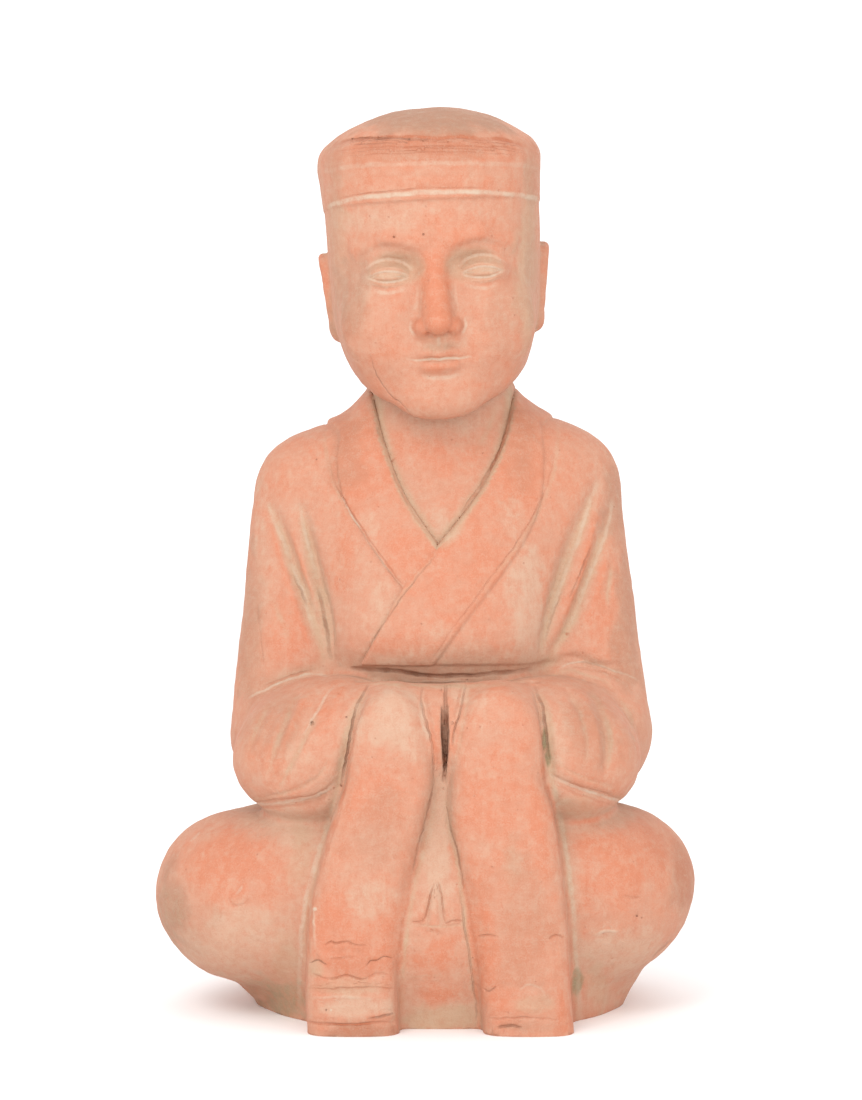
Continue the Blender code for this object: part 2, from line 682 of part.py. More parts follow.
def decimated(mesh, facets):
    """The mesh with fewer facets, which stay closest together on the face."""

    def add(helper):
        points = to_head(points_of(mesh))
        face = (points[:, 1] < FACE_BEHIND) & (points[:, 2] < CAP_EDGE) & (points[:, 2] > CHIN_LEVEL)
        group = helper.vertex_groups.new(name="plain")
        group.add(np.nonzero(~face)[0].tolist(), 1.0, "REPLACE")
        group.add(np.nonzero(face)[0].tolist(), 0.5, "REPLACE")
        modifier = helper.modifiers.new("Decimate", "DECIMATE")
        modifier.ratio = facets / (2 * len(mesh.polygons))
        modifier.vertex_group = group.name
        modifier.vertex_group_factor = FACE_FAVOUR
        modifier.use_collapse_triangulate = True

    return evaluated_copy(mesh, "clay", add)


def terracotta():
    material = bpy.data.materials.new("terracotta")
    material.use_nodes = True
    shader = material.node_tree.nodes["Principled BSDF"]
    shader.inputs["Base Color"].default_value = (0.72, 0.36, 0.24, 1.0)
    shader.inputs["Roughness"].default_value = 0.8
    shader.inputs["Metallic"].default_value = 0.0
    return material


def seated_figure():
    mesh = rough_clay()
    settle(mesh, 12, 6 * UNIT)
    mesh = remeshed(mesh, FINE_VOXEL)
    settle(mesh, 5, 3 * UNIT)
    points, normals = points_of(mesh), normals_of(mesh)
    move_points(mesh, points + normals * garment_relief(points, normals)[:, None])
    mesh = decimated(mesh, FACETS)
    cut_ground(mesh)
    mesh.shade_smooth()
    mesh.set_sharp_from_angle(angle=radians(50.0))
    figure = bpy.data.objects.new("seated_figure", mesh)
    bpy.context.scene.collection.objects.link(figure)
    mesh.materials.append(terracotta())
    return figure


for leftover in list(bpy.data.objects):
    bpy.data.objects.remove(leftover)
seated_figure()
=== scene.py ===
"""A seated boy in terracotta: the fired and worn surface, with a floor, lights and a camera.

The clay is built from the same masses as the solid, and worked finer. Strokes and patches, placed where
the photograph shows them, carve and tint the surface. Nodes give it grain, pinholes and rubbed slip.
"""

from contextlib import contextmanager
from math import cos, pi, radians, sin

import bmesh
import bpy
import numpy as np
from mathutils import Euler, Matrix, Vector


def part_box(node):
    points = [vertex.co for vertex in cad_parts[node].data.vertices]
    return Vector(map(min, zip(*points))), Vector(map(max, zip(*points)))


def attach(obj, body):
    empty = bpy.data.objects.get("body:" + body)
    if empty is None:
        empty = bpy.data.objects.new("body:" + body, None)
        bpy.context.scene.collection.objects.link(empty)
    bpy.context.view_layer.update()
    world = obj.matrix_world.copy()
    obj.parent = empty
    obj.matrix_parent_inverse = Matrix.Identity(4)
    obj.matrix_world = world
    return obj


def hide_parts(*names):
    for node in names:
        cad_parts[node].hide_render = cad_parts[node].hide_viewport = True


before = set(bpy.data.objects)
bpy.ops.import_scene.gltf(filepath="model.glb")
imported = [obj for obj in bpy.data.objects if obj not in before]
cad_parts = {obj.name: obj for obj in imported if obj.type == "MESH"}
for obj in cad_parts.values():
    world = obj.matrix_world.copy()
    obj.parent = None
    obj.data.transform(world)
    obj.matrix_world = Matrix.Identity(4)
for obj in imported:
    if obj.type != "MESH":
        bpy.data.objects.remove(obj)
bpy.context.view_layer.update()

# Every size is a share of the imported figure's height, written as millimetres on a figure 560 mm tall.
FIGURE_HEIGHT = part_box("seated_figure")[1].z
UNIT = FIGURE_HEIGHT / 560.0

# How finely the clay is worked, in turns: voxel, rounds of settling, furthest that a round moves a point.
WORKING_TURNS = (
    (7.0 * UNIT, 12, 6.0 * UNIT),
    (2.6 * UNIT, 4, 3.0 * UNIT),
    (1.35 * UNIT, 3, 1.5 * UNIT),
)
EVENING_OUT = 0.4
MOST_TRIANGLES = 196000

# Lower body
KNEE_REACH = {-1: 124.0 * UNIT, 1: 109.5 * UNIT}
KNEE_HEIGHT = {-1: 71.0 * UNIT, 1: 75.0 * UNIT}
KNEE_RADIUS = 49.5 * UNIT
HIP_RADIUS = 54.5 * UNIT
SHIN_RADIUS = 44.0 * UNIT

# Trunk and arms
SHOULDER_REACH = {-1: 80.0 * UNIT, 1: 79.5 * UNIT}
SHOULDER_HEIGHT = {-1: 318.0 * UNIT, 1: 321.0 * UNIT}
ARM_RADIUS = 37.0 * UNIT
ELBOW_REACH = {-1: 92.0 * UNIT, 1: 97.0 * UNIT}
SLEEVE_HEIGHT = 168.0 * UNIT
SLEEVE_TOP = 204.0 * UNIT
SKIN_DEPTH = 5.5 * UNIT

# Hanging sleeve panels
PANEL_FRONT = -136.0 * UNIT
PANEL_FLARE = 6.0 * UNIT
PANEL_CROWN = 3.5 * UNIT
PANEL_DEPTH = 62.0 * UNIT

# Fillets where the masses meet, in millimetres
SHOULDER_FILLET = 26.0
COLLAR_FILLET = 2.5
NECK_FILLET = 14.0
LAP_FILLET = 22.0
SLEEVE_FILLET = 12.0
CUFF_FILLET = 6.0
PANEL_FILLET = 5.0
HEAD_FILLET = 6.0

# Levels between which each group of masses is worked out
ROBE_LEVELS = (60.0 * UNIT, 440.0 * UNIT)
LAP_LEVELS = (-np.inf, 230.0 * UNIT)
SLEEVE_LEVELS = (-np.inf, 260.0 * UNIT)
GAP_LEVELS = (120.0 * UNIT, 260.0 * UNIT)

# Head and cap, measured from the pivot in the neck
HEAD_PIVOT = (1.5, -12.0, 400.0)
HEAD_BOW = radians(5.0)
HEAD_LEAN = radians(-3.0)
CAP_EDGE = 98.0 * UNIT
EAR_LEAN = 7.0


def at(x, y, z):
    """A place given in millimetres on the 560 mm figure, in metres."""
    return np.array((x, y, z), float) * UNIT


def blend(a, b, fillet):
    """The distance to two masses run together, with a fillet about that many millimetres wide."""
    reach = fillet * UNIT
    share = np.clip(0.5 + 0.5 * (b - a) / reach, 0.0, 1.0)
    return b + (a - b) * share - reach * share * (1.0 - share)


def keep(a, b, fillet):
    """The distance to what two masses share, with a rounded edge."""
    return -blend(-a, -b, fillet)


def carve(a, b, fillet):
    """The distance to mass a with mass b taken away."""
    return -blend(-a, b, fillet)


def joined(start, p, masses, fillet, how=blend):
    """A distance with more masses blended onto it, or carved from it, one after another."""
    for mass in masses:
        start = how(start, mass.distance(p), fillet)
    return start


def between(p, low, high, measure):
    """What measure gives for the places between two heights, and a long way off for the others."""
    inside = (p[:, 2] > low) & (p[:, 2] < high)
    made = np.full(len(p), FIGURE_HEIGHT)
    made[inside] = measure(p[inside])
    return made


def smooth_step(t):
    """0 below 0 and 1 above 1, with a soft change between."""
    t = np.clip(t, 0.0, 1.0)
    return t * t * (3.0 - 2.0 * t)


def profile(z, *stops):
    """A size that changes smoothly with height through (height, size) stops given in millimetres."""
    heights, sizes = (np.array(column, float) * UNIT for column in zip(*stops))
    slopes = np.gradient(sizes, heights)
    z = np.clip(z, heights[0], heights[-1])
    i = np.clip(np.searchsorted(heights, z) - 1, 0, len(heights) - 2)
    gap = heights[i + 1] - heights[i]
    t = (z - heights[i]) / gap
    start = sizes[i] * (2 * t**3 - 3 * t**2 + 1) + gap * slopes[i] * (t**3 - 2 * t**2 + t)
    end = sizes[i + 1] * (3 * t**2 - 2 * t**3) + gap * slopes[i + 1] * (t**3 - t**2)
    return start + end


class Ellipsoid:
    """A round mass, turned by angles in degrees about X, Y and Z."""

    def __init__(self, centre, radii, turn=(0.0, 0.0, 0.0)):
        self.centre = np.array(centre, float)
        self.radii = np.array(radii, float)
        self.axes = np.array(Euler([radians(angle) for angle in turn]).to_matrix())

    def distance(self, p):
        q = (p - self.centre) @ self.axes
        near = np.linalg.norm(q / self.radii, axis=1)
        slope = np.linalg.norm(q / self.radii**2, axis=1)
        return near * (near - 1.0) / np.maximum(slope, 1e-9)

    def rough(self, bm):
        ball = bmesh.ops.create_icosphere(bm, subdivisions=3, radius=1.0)
        place = Matrix.Translation(Vector(self.centre)) @ Matrix(self.axes.tolist()).to_4x4()
        place = place @ Matrix.Diagonal((*self.radii, 1.0))
        bmesh.ops.transform(bm, matrix=place, verts=ball["verts"])


class Limb:
    """A mass with round ends that tapers from one point to another."""

    def __init__(self, start, end, start_radius, end_radius):
        self.start, self.end = np.array(start, float), np.array(end, float)
        self.radii = (start_radius, end_radius)

    def radius(self, t):
        return self.radii[0] + (self.radii[1] - self.radii[0]) * t

    def distance(self, p):
        run = self.end - self.start
        t = np.clip((p - self.start) @ run / (run @ run), 0.0, 1.0)
        off = np.linalg.norm(p - self.start - t[:, None] * run, axis=1)
        return off - self.radius(t)

    def rough(self, bm):
        for t in np.linspace(0.0, 1.0, 5):
            Ellipsoid(self.start + (self.end - self.start) * t, (self.radius(t),) * 3).rough(bm)


class Loft:
    """A mass with rounded oblong level sections. Each is (height, half width, front, back) in millimetres."""

    def __init__(self, sections, squareness=2.4, middle=((0, 0), (1, 0))):
        self.sections, self.squareness, self.middle = sections, squareness, middle

    def distance(self, p):
        z = p[:, 2]
        half, front, back = (profile(z, *[(s[0], s[i]) for s in self.sections]) for i in (1, 2, 3))
        depth = (back - front) / 2
        across = np.abs(p[:, 0] - profile(z, *self.middle)) / half
        along = np.abs(p[:, 1] - (front + back) / 2) / depth
        near = (across**self.squareness + along**self.squareness) ** (1.0 / self.squareness)
        side = (near - 1.0) * np.minimum(half, depth)
        low, high = self.sections[0][0] * UNIT, self.sections[-1][0] * UNIT
        return keep(side, np.maximum(low - z, z - high), 6.0)

    def rough(self, bm):
        for low, high in zip(self.sections, self.sections[1:]):
            middle = [(a + b) / 2 for a, b in zip(low, high)]
            height = (high[0] - low[0]) * 0.9
            radii = at(middle[1], (middle[3] - middle[2]) / 2, height)
            Ellipsoid(at(0, (middle[2] + middle[3]) / 2, middle[0]), radii).rough(bm)


class Panel:
    """One hanging sleeve: a thick cloth between an outer and an inner edge, seen from the front."""

    def __init__(self, outer, inner):
        self.outer, self.inner = outer, inner

    def front(self, z):
        return PANEL_FRONT - PANEL_FLARE * smooth_step(1.0 - z / SLEEVE_TOP)

    def distance(self, p):
        x, y, z = p.T
        edges = np.sort([profile(z, *self.outer), profile(z, *self.inner)], axis=0)
        side = np.maximum(edges[0] - x, x - edges[1])
        across = (2 * x - edges[0] - edges[1]) / (edges[1] - edges[0])
        front = self.front(z) - PANEL_CROWN * np.clip(1 - across**2, 0, None)
        face = np.maximum(front - y, y - front - PANEL_DEPTH)
        slab = keep(side, face, 12.0)
        return keep(slab, z - SLEEVE_TOP, 30.0)

    def rough(self, bm):
        for low, high in zip(self.outer, self.outer[1:]):
            z = (low[0] + high[0]) / 2 * UNIT
            edges = [float(profile(np.array([z]), *edge)[0]) for edge in (self.outer, self.inner)]
            half = abs(edges[0] - edges[1]) / 2
            centre = (sum(edges) / 2, self.front(z) + PANEL_DEPTH / 2, z)
            Ellipsoid(centre, (half, PANEL_DEPTH / 2, (high[0] - low[0]) * UNIT * 0.8)).rough(bm)


TRUNK = Loft(
    (
        (85, 98, -58, 112),
        (140, 92, -64, 106),
        (190, 82, -74, 95),
        (206, 79, -80, 91),
        (222, 79, -89, 88),
        (260, 82, -83, 83),
        (300, 88, -70, 80),
        (330, 89, -58, 74),
        (348, 85, -52, 68),
        (360, 73.5, -48, 62),
        (372, 58.5, -45, 55),
        (384, 46.5, -43, 48),
        (394, 42, -42, 46),
    ),
    middle=((290, 0), (330, 3), (360, 5), (394, 3)),
)
FOOT = Loft(
    (
        (-12, 112, -120, 106),
        (12, 114, -124, 109),
        (60, 103, -124, 112),
    ),
    middle=((-12, 2.5), (12, 2.5), (60, 0)),
)
WEST_PANEL = Panel(
    outer=((-12, -75), (30, -76.5), (80, -73), (122, -62), (146, -54), (181, -50), (206, -39)),
    inner=((-12, -21), (20, -22.5), (79, -17), (122, -7), (146, -2), (183, -7), (206, -9)),
)
EAST_PANEL = Panel(
    outer=((-12, 81), (21, 78), (79, 75), (129, 67.5), (149, 62), (179, 61), (206, 55)),
    inner=((-12, 28), (21, 24.7), (79, 17.3), (122, 7.5), (146, 7.5), (174, 10), (206, 16)),
)


def knee(side):
    return np.array((side * KNEE_REACH[side], -46 * UNIT, KNEE_HEIGHT[side]))


def leg(side):
    """A thigh out to its knee and a shin crossed in front, under the robe."""
    under_knee = knee(side) + at(-side * 14, 4, -20)
    return (
        Limb(at(side * 46, 42, 74), knee(side), HIP_RADIUS, KNEE_RADIUS),
        Limb(knee(side) + at(-side * 14, -24, -6), at(0, -86, 56), SHIN_RADIUS, 42 * UNIT),
        Ellipsoid(at(side * 86, 6, 65), at(58, 80, 50), (0, 0, side * 14)),
        Limb(under_knee, at(side * 100, -38, 22), 21 * UNIT, 17 * UNIT),
        Ellipsoid(at(side * 72, -72, 91), at(48, 45, 37)),
    )


def arm(side):
    """An upper arm down to its elbow, the forearm in its sleeve and the fullness of the sleeve."""
    shoulder = np.array((side * SHOULDER_REACH[side], 3 * UNIT, SHOULDER_HEIGHT[side]))
    elbow = np.array((side * ELBOW_REACH[side], -22 * UNIT, 170 * UNIT))
    wrist = np.array((side * 38 * UNIT + 4 * UNIT, -102 * UNIT, SLEEVE_HEIGHT))
    return (
        Limb(shoulder, elbow, ARM_RADIUS, ARM_RADIUS),
        Limb(elbow + at(-side * 2, -14, -4), wrist, 38 * UNIT, 34 * UNIT),
        Ellipsoid(at(side * 66, -74, 157), at(60, 52, 44), (0, 0, -side * 38)),
    )


# Both legs, the robe that falls between them, the lap and the seat
LEGS = (
    *leg(-1),
    *leg(1),
    Limb(at(3, -98, 150), at(3, -86, 62), 27 * UNIT, 42 * UNIT),
    Ellipsoid(at(0, -38, 84), at(112, 86, 46)),
    Ellipsoid(at(0, 44, 88), at(110, 72, 80)),
)
WEST_ARM, EAST_ARM = arm(-1), arm(1)
UPPER_ARMS = (WEST_ARM[0], EAST_ARM[0])
SLEEVES = (*WEST_ARM[1:], *EAST_ARM[1:])
NECK = Limb(at(3, -4, 325), at(*HEAD_PIVOT) + at(2.5, -2, 25), 43 * UNIT, 39 * UNIT)
CUFFS = Limb(at(-30, -102, 171), at(38, -102, 171), 31 * UNIT, 31 * UNIT)
HEAD_TURN = np.array(Euler((HEAD_BOW, HEAD_LEAN, 0.0)).to_matrix())


def to_head(p):
    """Body places seen from the bowed head, with its pivot as the origin."""
    return (p - at(*HEAD_PIVOT)) @ HEAD_TURN


SKULL = Loft(
    (
        (-44, 30, -64, 10),
        (-28, 40, -66, 18),
        (-10, 51, -68, 36),
        (6, 58, -70, 54),
        (30, 64, -71, 69),
        (56, 66, -72, 74),
        (80, 67, -74, 75),
        (104, 67.9, -73.5, 74.5),
        (136, 67, -70, 72),
    ),
    squareness=2.35,
)
CAP = Loft(((90, 67.9, -75, 75.5), (112, 69.2, -76, 76.5), (134, 71, -76.5, 77), (164, 71, -76.5, 77)), 2.35)
CAP_DOME = Ellipsoid(at(0, 0.5, 98), at(86, 93, 62))
CAP_ROUGH = Ellipsoid(at(0, 0.5, 112), at(70, 76, 46))


def cap_dome(q):
    """The low dome that closes the cap, run straight down below its widest level."""
    above = q.copy()
    above[:, 2] = np.maximum(q[:, 2], CAP_DOME.centre[2])
    return CAP_DOME.distance(above)


def both(centre, radii, turn=0.0):
    """The same ellipsoid on the left and right of the face, turned by an angle in degrees about Z."""
    return [
        Ellipsoid(at(side * centre[0], *centre[1:]), at(*radii), (0.0, 0.0, side * turn)) for side in (-1, 1)
    ]


FACE_SOCKETS = both((28.5, -77, 58.5), (21, 14, 10), -14)
FACE_LIDS = both((28, -57.5, 54.5), (16.5, 13.5, 9.5), -12)
FACE_CHEEKS = both((33, -50, 24), (24, 18, 24))
FACE_WINGS = both((9, -75, 22), (5.4, 7.5, 5.6))
FACE_NOSTRILS = both((4.8, -80, 17.5), (1.9, 3.2, 1.8))
NOSE_BRIDGE = Limb(at(0, -68, 64), at(0, -81.5, 27), 5.0 * UNIT, 6.2 * UNIT)
NOSE_TIP = Ellipsoid(at(0, -82.5, 24.5), at(8, 8.2, 7.2))
NOSE_ROOT = Ellipsoid(at(0, -68, 31), at(11, 12, 19))
MUZZLE = Ellipsoid(at(0, -58, 4), at(28, 15, 18))
CHIN = Ellipsoid(at(0, -59, -20), at(21, 12, 12))


def brows():
    made = []
    for side in (-1, 1):
        inner, middle, outer = at(side * 10, -70.5, 73), at(side * 28, -66.5, 77), at(side * 47, -54, 71)
        made += [Limb(inner, middle, 2.8 * UNIT, 3.4 * UNIT), Limb(middle, outer, 3.4 * UNIT, 2.2 * UNIT)]
    return made


def lips():
    made = []
    for side in (-1, 1):
        peak, corner = at(side * 7, -73.2, 7.4), at(side * 19.5, -67, 3.4)
        made.append(Limb(at(0, -73.6, 6.2), peak, 2.8 * UNIT, 3.0 * UNIT))
        made.append(Limb(peak, corner, 3.0 * UNIT, 1.3 * UNIT))
        full = at(side * 8.5, -72, -0.6)
        made.append(Limb(at(0, -72.8, -1.2), full, 4.0 * UNIT, 3.7 * UNIT))
        made.append(Limb(full, at(side * 18, -67.2, 2.2), 3.7 * UNIT, 1.4 * UNIT))
    return made


def ear_parts(side):
    """The shell of one ear, its hollow and the rolled rim round it."""
    place = at(side * 64, 6, 46)
    turn = (-10, side * EAR_LEAN, side * 14)
    shell = Ellipsoid(place, at(6.0, 13, 24), turn)
    hollow = Ellipsoid(place + at(side * 6.5, -2, -1), at(4.0, 6.5, 13), turn)
    rim_line = ((-9, 4), (-8, 13), (-4, 21), (4, 24.5), (10, 20), (12, 10), (11, -1), (7, -12), (2, -21))
    out = (1.5, 2.2, 2.6, 3.0, 3.4, 3.6, 3.4, 2.8, 2.0)
    lean = sin(radians(EAR_LEAN))
    places = [place + at(side * (o + lean * z), y, z) for (y, z), o in zip(rim_line, out)]
    rim = [Limb(a, b, 3.4 * UNIT, 3.4 * UNIT) for a, b in zip(places, places[1:])]
    lobe = Ellipsoid(place + at(side * (1.5 - 21 * lean), -2, -21), at(4.5, 6.5, 7))
    return shell, hollow, rim, lobe


BROWS, LIPS = brows(), lips()
EARS = [ear_parts(side) for side in (-1, 1)]


def head_shape(p):
    """The distance to the head and cap, worked in the head's own directions."""
    q = to_head(p)
    under = (q - at(0, -60, -30)) @ np.array((0.0, sin(radians(22)), -cos(radians(22))))
    head = keep(SKULL.distance(q), under, 16)
    dome = cap_dome(q)
    head = keep(head, dome, 8)
    head = joined(head, q, FACE_CHEEKS, 18)
    head = joined(head, q, (MUZZLE, CHIN), 14)
    head = joined(head, q, BROWS, 6)
    head = joined(head, q, FACE_SOCKETS, 7, carve)
    head = joined(head, q, FACE_LIDS, 3.5)
    nose = joined(NOSE_BRIDGE.distance(q), q, (NOSE_TIP,), 6)
    nose = joined(nose, q, (NOSE_ROOT,), 9)
    nose = joined(nose, q, FACE_WINGS, 3)
    head = blend(head, nose, 6)
    head = joined(head, q, FACE_NOSTRILS, 2, carve)
    mouth = joined(LIPS[0].distance(q), q, LIPS[1:], 1.6)
    head = blend(head, mouth, 3)
    for shell, hollow, rim, lobe in EARS:
        ear = blend(shell.distance(q), lobe.distance(q), 5)
        ear = blend(ear, np.minimum.reduce([mass.distance(q) for mass in rim]), 3)
        head = blend(head, carve(ear, hollow.distance(q), 3), 4)
    cap = keep(CAP.distance(q), dome, 7)
    cap = keep(cap, CAP_EDGE - q[:, 2], 1.5)
    return np.minimum(head, cap)


def head_distance(p):
    """The distance to the head and cap, worked out only above the shoulders."""
    return between(p, SHOULDER_HEIGHT[-1], np.inf, head_shape)


def off_head(p):
    """Which places lie clear of the head, where the lines and stains of the robe may show."""
    return head_distance(p) > 3 * UNIT


# Edges of the crossed-over collar on the chest: (height, how far east) in millimetres, seen from the front.
COLLAR_WEST_INNER = ((270, 6), (282, 0), (293, -7.5), (312, -19.5), (339, -31.5), (373, -39.5), (400, -42))
COLLAR_WEST_OUTER = ((240, -8), (258, -21), (285, -41), (312, -56.5), (337, -66), (356, -69), (380, -70))
COLLAR_EAST_INNER = (
    (190, -59), (210, -47), (233, -34), (258, -20.5), (282, 0),
    (306, 20), (330, 35), (354, 44), (376, 48), (400, 50),
)
COLLAR_EAST_OUTER = ((190, -20), (210, -4), (230, 11), (257, 32), (294, 57), (337, 69), (358, 73), (380, 74))
COLLAR_RADIUS = 72.0 * UNIT
COLLAR_BACK_EDGE = 358.0 * UNIT
COLLAR_STEP = 2.6 * UNIT
ROBE_HEM = 211.0 * UNIT
CHEST_TOP = 270.0 * UNIT

# Folds seen from the front: depth, width, then (east, height) along the fold, in millimetres.
FRONT_FOLDS = (
    (4.2, 5.0, (-105, 311), (-94, 285), (-82, 250), (-71, 216)),
    (5.4, 5.0, (-84, 307), (-78, 278), (-71, 245), (-66, 214)),
    (5.0, 5.5, (100, 322), (83, 285), (71, 245), (64, 214)),
    (4.4, 5.5, (109, 311), (96, 270), (80, 232), (66, 208)),
    (3.0, 3.2, (-124, 190), (-100, 200), (-80, 206), (-62, 206)),
    (3.0, 3.2, (60, 206), (82, 215), (103, 209), (122, 198)),
    (2.0, 4.5, (-70, 202), (-79, 180), (-88, 160), (-99, 136)),
    (1.6, 4.5, (-88, 198), (-98, 182), (-107, 160), (-110, 136)),
    (4.4, 3.0, (-40, 203), (-50, 180), (-54.5, 160), (-57, 142)),
    (4.4, 3.2, (58, 202), (63, 184), (66, 160), (67, 148)),
    (2.0, 4.5, (88, 200), (98, 180), (101, 160), (99, 142)),
    (1.6, 4.0, (80, 206), (98, 197), (112, 184), (120, 170)),
    (2.6, 3.2, (-113, 128), (-92, 131), (-70, 134), (-60, 143)),
    (2.6, 3.2, (66, 148), (82, 140), (99, 135), (114, 129)),
    (1.6, 2.0, (-3, 85), (-5, 74), (-7, 64), (-14, 64)),
    (1.6, 2.0, (1, 89), (2.5, 76), (4, 64), (12, 63)),
)
# Plainer folds on the back
BACK_FOLDS = (
    (3.0, 7.0, (-74, 332), (-64, 290), (-66, 240), (-80, 188)),
    (3.0, 7.0, (72, 334), (63, 288), (67, 236), (82, 184)),
    (2.2, 6.0, (-48, 300), (-44, 262), (-50, 214)),
    (2.2, 6.0, (50, 296), (45, 256), (52, 208)),
    (2.6, 7.0, (-96, 156), (-52, 130), (0, 122), (52, 130), (96, 154)),
)
SLIT = (4.5, 176.0)
SLIT_HALF_LENGTH = 28.0
SLIT_HALF_WIDTH = 2.1


def beside(p, edge):
    """How far each place lies east of an edge, seen from the front."""
    x, z = p[:, 0], p[:, 2]
    run = 1.0 * UNIT
    slope = (profile(z + run, *edge) - profile(z - run, *edge)) / (2 * run)
    return (x - profile(z, *edge)) / np.sqrt(1.0 + slope**2)


def neck_opening(p):
    """The V between the two collar edges, from its point on the chest up to the neck."""
    side = np.maximum(-beside(p, COLLAR_WEST_INNER), beside(p, COLLAR_EAST_INNER))
    return np.maximum(side, p[:, 1] - 4 * UNIT)


def sleeve_slit(p):
    """The narrow dark slit between the two sleeve ends."""
    x, y, z = (p / UNIT).T
    long = np.clip(1 - ((z - SLIT[1]) / SLIT_HALF_LENGTH) ** 2, 0.0, None)
    side = (np.abs(x - SLIT[0]) - SLIT_HALF_WIDTH * long) * UNIT
    return np.maximum(side, (y + 125) * UNIT)


def hem_gap(p):
    """The shadow gap between the hem of the crossed robe and the tops of the sleeves."""
    return Limb(at(-46, -92, 207), at(56, -93, 207), 4.6 * UNIT, 4.6 * UNIT).distance(p)


def robe_distance(p):
    """The robed trunk and upper arms, with the neck in its open collar."""
    trunk = TRUNK.distance(p)
    robe = joined(trunk, p, UPPER_ARMS, SHOULDER_FILLET)
    robe = carve(robe, neck_opening(p), COLLAR_FILLET)
    skin = joined(trunk + SKIN_DEPTH, p, (NECK,), NECK_FILLET)
    return np.minimum(robe, skin)


def lap_distance(p):
    """The folded legs under the robe, down to the ground."""
    return joined(FOOT.distance(p), p, LEGS, LAP_FILLET)


def sleeve_distance(p):
    """The forearms in their wide sleeves, brought together and hanging down in front."""
    sleeves = joined(SLEEVES[0].distance(p), p, SLEEVES[1:], SLEEVE_FILLET)
    sleeves = joined(sleeves, p, (CUFFS,), CUFF_FILLET)
    return joined(sleeves, p, (WEST_PANEL, EAST_PANEL), PANEL_FILLET)


def figure_distance(p):
    """How far each place is outside the clay, before the garment lines are cut."""
    body = between(p, *ROBE_LEVELS, robe_distance)
    body = blend(body, between(p, *LAP_LEVELS, lap_distance), 8)
    body = blend(body, between(p, *SLEEVE_LEVELS, sleeve_distance), 7)
    body = carve(body, between(p, *GAP_LEVELS, hem_gap), 3)
    body = carve(body, between(p, *GAP_LEVELS, sleeve_slit), 1.5)
    return blend(body, head_distance(p), HEAD_FILLET)


def off_line(flat, knots):
    """Distance to a line seen from the front, and how far along it, from 0 to 1."""
    nearest = np.full(len(flat), np.inf)
    along = np.zeros(len(flat))
    count = len(knots) - 1
    for i in range(count):
        run = knots[i + 1] - knots[i]
        t = np.clip((flat - knots[i]) @ run / (run @ run), 0.0, 1.0)
        off = np.linalg.norm(flat - knots[i] - t[:, None] * run, axis=1)
        closer = off < nearest
        nearest[closer] = off[closer]
        along[closer] = (i + t[closer]) / count
    return nearest, along


def smooth_line(line, pieces=12):
    """More places along a soft curve through the given ones."""
    knots = np.array(line, float)
    ends = np.vstack((2 * knots[0] - knots[1], knots, 2 * knots[-1] - knots[-2]))
    made = []
    for a, b, c, d in zip(ends, ends[1:], ends[2:], ends[3:]):
        for i in range(pieces):
            t = i / pieces
            bend = (2 * a - 5 * b + 4 * c - d) * t**2 + (3 * b - a - 3 * c + d) * t**3
            made.append(0.5 * (2 * b + (c - a) * t + bend))
    return np.array((*made, knots[-1]))


def collar_relief(p):
    """How far the collar bands stand proud of the robe, over the chest, the shoulders and the nape."""
    edge = 1.6 * UNIT
    x, y, z = p.T
    radius = np.hypot(x - 2 * UNIT, y - 4 * UNIT)
    behind = smooth_step((y - 10 * UNIT) / (30 * UNIT))
    over = (1 - behind) * (COLLAR_RADIUS - radius) + behind * (z - COLLAR_BACK_EDGE)
    top = smooth_step((y + 52 * UNIT) / (24 * UNIT))
    west = (1 - top) * beside(p, COLLAR_WEST_OUTER) + top * over
    east = (1 - top) * -beside(p, COLLAR_EAST_OUTER) + top * over
    overlap = beside(p, COLLAR_EAST_INNER)
    on_east = smooth_step(overlap / edge + 0.5)
    above_hem = smooth_step((z - ROBE_HEM) / edge + 0.5)
    band_west = smooth_step(west / edge + 0.5) * (1 - on_east)
    band_east = smooth_step(east / edge + 0.5) * on_east
    rise = COLLAR_STEP * (0.8 * band_west + 0.55 * band_east + 0.6 * on_east * above_hem * (1 - top))
    grooves = 0.0
    for side, shown in ((west, 1 - on_east), (east, on_east), (overlap, 1 - top)):
        grooves = grooves + shown * np.exp(-((side / (1.5 * UNIT)) ** 2))
    above = smooth_step((z - ROBE_HEM) / (3 * UNIT)) * smooth_step((398 * UNIT - z) / (6 * UNIT))
    return (rise - 0.9 * UNIT * grooves) * above


def garment_relief(p, normals):
    """How far the clay is raised or cut, along its own normals, by the lines of the robe."""
    relief = collar_relief(p) * off_head(p)
    for way, folds in ((-1, FRONT_FOLDS), (1, BACK_FOLDS)):
        facing = smooth_step((way * normals[:, 1] - 0.02) / 0.3)
        seen = np.nonzero((facing > 0) & (p[:, 2] < NECK.start[2] + 20 * UNIT))[0]
        for depth, width, *line in folds:
            off, along = off_line(p[seen][:, (0, 2)], smooth_line(line) * UNIT)
            taper = np.sin(pi * np.clip(along, 0.04, 0.96)) ** 0.6
            relief[seen] -= facing[seen] * depth * UNIT * taper * np.exp(-((off / (width * UNIT)) ** 2))
    return relief


def mesh_of(bm, name):
    mesh = bpy.data.meshes.new(name)
    bm.to_mesh(mesh)
    bm.free()
    return mesh


def placed(name, data):
    """A new object in the scene."""
    made = bpy.data.objects.new(name, data)
    bpy.context.scene.collection.objects.link(made)
    return made


@contextmanager
def reworked(mesh):
    """The mesh as a bmesh to work on, written back at the end."""
    bm = bmesh.new()
    bm.from_mesh(mesh)
    yield bm
    bm.to_mesh(mesh)
    bm.free()


